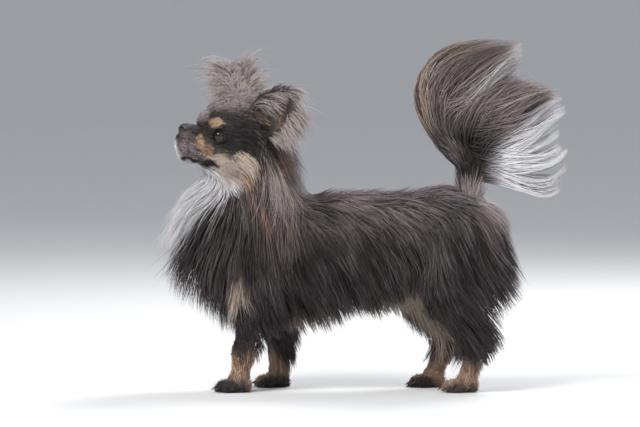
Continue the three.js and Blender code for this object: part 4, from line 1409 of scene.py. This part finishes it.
def plume_material():
    made, base, shader = material("plume_fur", 0.5, 0.35)
    root, along, tone = hair_inputs(base)
    geometry = base.node("ShaderNodeNewGeometry")
    mm = geometry.vector("MULTIPLY", (1000, 1000, 1000)).vector("SUBTRACT", tuple(SHIFT))
    x, y, z = mm.axes()
    away = mm.vector("SUBTRACT", (86, 0, 208)).vector("LENGTH", out=1)
    colour = away.ramp(16, 64).between(DEEP, (0.25, 0.20, 0.195))
    colour = colour.over((0.06, 0.048, 0.046), tone.ramp(0.5, 0.2) * 0.8)
    colour = colour.over((0.46, 0.395, 0.39), tone.ramp(0.52, 0.8) * away.ramp(24, 84))
    gold = x.ramp(66, 44) + (z.ramp(285, 312) * x.ramp(120, 90))
    colour = colour.over(GOLD, gold * tone.ramp(0.2, 0.6) * 0.7)
    streak = (z - x * 0.95).ramp(163, 172) * (z - x * 0.95).ramp(188, 181) * away.ramp(50, 85)
    colour = colour.over(WHITE, streak * tone.ramp(0.35, 0.65) * 0.7)
    low = (z - x * 0.9).ramp(124, 100) * x.ramp(100, 128) * tone.ramp(0.02, 0.32)
    colour = colour.over(WHITE, low)
    colour = colour.over(PALE, along.ramp(0.8, 1.0) * away.ramp(50, 90) * 0.4)
    feed(colour, shader, "Base Color")
    return made


# the first key that a piece's name starts with gives its look
looks = {
    "coat_face": hair_material("short_fur", LILAC, 0.3, 0.08, roughness=0.6, lilac_and_sheen=0.12),
    "coat_mane": hair_material("mane_fur", SILVER, 0.1, 0.7, roughness=0.46, lilac_and_sheen=0.8, tip_to=0.9),
    "coat_plume": plume_material(),
    "coat_stalk": hair_material("stalk_fur", DARK, 0.5, 0.2, lilac_and_sheen=0.08),
    "coat": hair_material("long_fur", LILAC, 0.4, 0.14, roughness=0.46),
    "ear": hair_material("ear_fur", PALE, 0.2, 0.4, lilac_and_sheen=0.6),
    "fringe": hair_material("fringe_fur", SILVER, -0.3, 0.95, roughness=0.46, lilac_and_sheen=0.9, tip_to=0.5),
}
for piece in coat_pieces:
    kind = next(k for k in looks if piece.name.startswith(k))
    piece.data.materials.append(looks[kind])
print("looks of the hair:", [look.name for look in looks.values()])

# %% [markdown]
# ## Eyes
# An eye is a ball with a clear dome in front. It could be two shells, one of them glass; a single
# glossy ball with the iris painted by its angle from the line of sight looks the same at this size
# and survives any export.

# %% Eyes
DOME_HEIGHT, DOME_EDGE = 1.0, 0.62


def eyeball(name, side):
    centre, look, across, up = eye_frame(side)
    rings, sides = 40, 48
    points, angles = [], []
    for i in range(rings + 1):
        lean = math.pi * i / rings
        radius = EYE_RADIUS + DOME_HEIGHT * float(smooth(DOME_EDGE - lean, 0.0, 0.5))
        for j in range(sides if 0 < i < rings else 1):
            turn = 2 * math.pi * j / sides
            way = look * math.cos(lean) + (across * math.cos(turn) + up * math.sin(turn)) * math.sin(lean)
            points.append(centre + way * radius)
            angles.append(lean)

    def at(ring, turn):
        if ring == 0:
            return 0
        return len(points) - 1 if ring == rings else 1 + (ring - 1) * sides + turn % sides

    faces = []
    for i in range(rings):
        for j in range(sides):
            face = [at(i, j), at(i + 1, j), at(i + 1, j + 1), at(i, j + 1)]
            faces.append(list(dict.fromkeys(face)))
    mesh = smooth_mesh(name, points, faces)
    carry(mesh, "lean", "FLOAT", "value", angles)
    return add_object(name, mesh, "eye", f"eye_{'right' if side > 0 else 'left'}")


def eye_material():
    made, base, shader = material("eye_gloss", 0.04, 0.6)
    lean = base.node("ShaderNodeAttribute", {"attribute_name": "lean"}, out=2)
    stops = [  # from the line of sight outwards: pupil, iris, the iris's rim and the white, here dark
        (0.0, (0.004, 0.004, 0.005)), (0.13, (0.004, 0.004, 0.005)), (0.16, (0.020, 0.011, 0.008)),
        (0.24, (0.014, 0.008, 0.006)), (0.27, (0.006, 0.004, 0.004)), (0.40, (0.010, 0.007, 0.006)),
    ]
    colour = base.node("ShaderNodeValToRGB", {"stops": stops}, {0: lean * (1 / math.pi)})
    feed(colour, shader, "Base Color")
    return made


gloss = eye_material()
for name, side in (("eyeball_right", 1), ("eyeball_left", -1)):
    eyeball(name, side).data.materials.append(gloss)
print("eyes at", eye_frame(-1)[0].round(1), eye_frame(1)[0].round(1))

# %% [markdown]
# ## Nose
# The leather of the nose is a rounded block with a nostril on each side that runs back into a slit,
# and a groove down its middle. Its skin is cobbled, which a fine cell pattern gives as bump.

# %% Nose
NOSE = np.array([-164.2, 0.0, 235.2])


def on_nose(x, y, z):
    return turn_head(NOSE + np.array([x, y, z]))


HEAD_AXES = turn_way(np.eye(3))


def nose_mesh():
    """The block of the nose with its nostrils, their slits and the groove between them."""
    leather = Clay(turn_head(NOSE) - [14, 13, 13], turn_head(NOSE) + [17, 13, 11], NOSE_VOXEL)
    leather.shape(Ball(on_nose(0, 0, 0), (6.6, 7.4, 5.2), HEAD_AXES), 1)
    leather.shape(Ball(on_nose(5, 0, 0.8), (7, 5.6, 3.6), HEAD_AXES), 2)
    leather.shape(Limb(on_nose(-4.5, 0, -3.5), on_nose(-2.5, 0, -8), 2.2, 1.6), 2)
    for side in (1, -1):
        nostril = Ball(on_nose(-4.4, side * 4.0, 0.2), (3.0, 2.6, 2.1), HEAD_AXES)
        leather.shape(nostril, 0.8, cut=True)
        slit = Limb(on_nose(-3.5, side * 5, -1.4), on_nose(0.5, side * 7.6, -2.2), 0.9, 0.6)
        leather.shape(slit, 0.6, cut=True)
    leather.shape(Limb(on_nose(-7.2, 0, 1.0), on_nose(-5.6, 0, -9), 0.45, 0.45), 0.5, cut=True)
    return smooth_mesh("nose_leather", *leather.surface())


def nose_material():
    made, base, shader = material("nose_leather", 0.42, 0.5)
    geometry = base.node("ShaderNodeNewGeometry")
    cells = base.node("ShaderNodeTexVoronoi", {}, {"Vector": geometry, "Scale": 1500})
    patchy = geometry.noise(160, 3).ramp(0.35, 0.7)
    feed(patchy.between((0.020, 0.019, 0.023), (0.060, 0.058, 0.068)), shader, "Base Color")
    cobbles = base.node("ShaderNodeBump", {}, {"Strength": 0.5, "Distance": 0.0004, "Height": cells})
    feed(cobbles, shader, "Normal")
    return made


nose = add_object("nose_leather", nose_mesh(), "nose_leather", "nose")
nose.data.materials.append(nose_material())
print("nose:", len(nose.data.polygons), "quads")

# %% [markdown]
# ## Claws
# Each toe ends in a small curved claw of dark horn that just clears the floor.

# %% Claws
CLAW_LENGTH, CLAW_DROP, CLAW_RADIUS = 8.2, 3.8, 1.35


def claw_mesh():
    """A bent cone on each toe; f runs from its root to its point."""
    points, faces = [], []
    rings, sides = 6, 8
    for side, _, _, paw_x in LEGS.values():
        for across, reach in TOES:
            start = len(points)
            root = np.array([paw_x - reach - 5.6, side * HALF_STANCE + across * TOE_STEP, 5.4])
            for i in range(rings):
                f = i / rings
                bend = 0.25 + 0.75 * f
                middle = root + np.array([-CLAW_LENGTH * f, 0, -CLAW_DROP * f * f])
                size = CLAW_RADIUS * (1 - f) ** 0.7
                for j in range(sides):
                    turn = 2 * math.pi * j / sides
                    rise = np.array([-math.sin(bend) * 0.5, 0, math.cos(bend)])
                    aside = math.cos(turn) * 0.7 * np.array([0, 1, 0])
                    points.append(middle + size * (aside + math.sin(turn) * rise))
            points.append(root + np.array([-CLAW_LENGTH, 0, -CLAW_DROP]))
            for i in range(rings - 1):
                for j in range(sides):
                    a, b = start + i * sides + j, start + i * sides + (j + 1) % sides
                    faces.append((a, b, b + sides, a + sides))
            last = start + (rings - 1) * sides
            faces += [(last + j, last + (j + 1) % sides, len(points) - 1) for j in range(sides)]
            faces.append(tuple(start + j for j in range(sides))[::-1])
    return smooth_mesh("claws", points, faces)


def claw_material():
    made, base, shader = material("claw_horn", 0.35, 0.5)
    patchy = base.node("ShaderNodeNewGeometry").noise(300, 2).ramp(0.3, 0.7)
    feed(patchy.between((0.02, 0.015, 0.012), (0.09, 0.065, 0.05)), shader, "Base Color")
    return made


claws = add_object("claws", claw_mesh(), "nose_leather")
claws.data.materials.append(claw_material())
print("claws:", len(claws.data.polygons), "faces")

# %% [markdown]
# ## Whiskers
# A few long stiff hairs on the lips. They are solids too, thinner than the coat's hairs.

# %% Whiskers
def whiskers():
    """Nine on each side, in three rows of three, that bend down and back."""
    roots, ways = [], []
    for side in (1, -1):
        for k in range(9):
            x, y, z = -158 + 4.5 * (k % 3), 10 + 1.2 * (k % 3), 213 + 3.2 * (k // 3)
            start = turn_head((x, 0, z))
            end = onto(head_field, start, turn_way(np.array([0, side, 0.0])), -0.8)
            roots.append(end)
            ways.append(turn_way(np.array([0.25 + 0.12 * (k % 3), side, -0.1 + 0.12 * (k // 3)])))
    roots, ways = np.array(roots), unit(np.array(ways))
    length = rng.uniform(14, 24, len(roots))
    t = np.linspace(0, 1, 7)[None, :, None]
    sag = np.array([0.3, 0, -0.25]) * t**2
    paths = roots[:, None] + (ways[:, None] * t + sag) * length[:, None, None]
    up = np.tile([[0.0, 0.0, 1.0]], (len(roots), 1))
    return hairs("whiskers", paths, np.full(len(roots), 0.32), "dark_fur", up)


def whisker_material():
    made, _, shader = material("whisker", 0.3, 0.5)
    shader.inputs["Base Color"].default_value = (0.02, 0.017, 0.017, 1)
    return made


whisker_look = whisker_material()
for piece in whiskers():
    piece.data.materials.append(whisker_look)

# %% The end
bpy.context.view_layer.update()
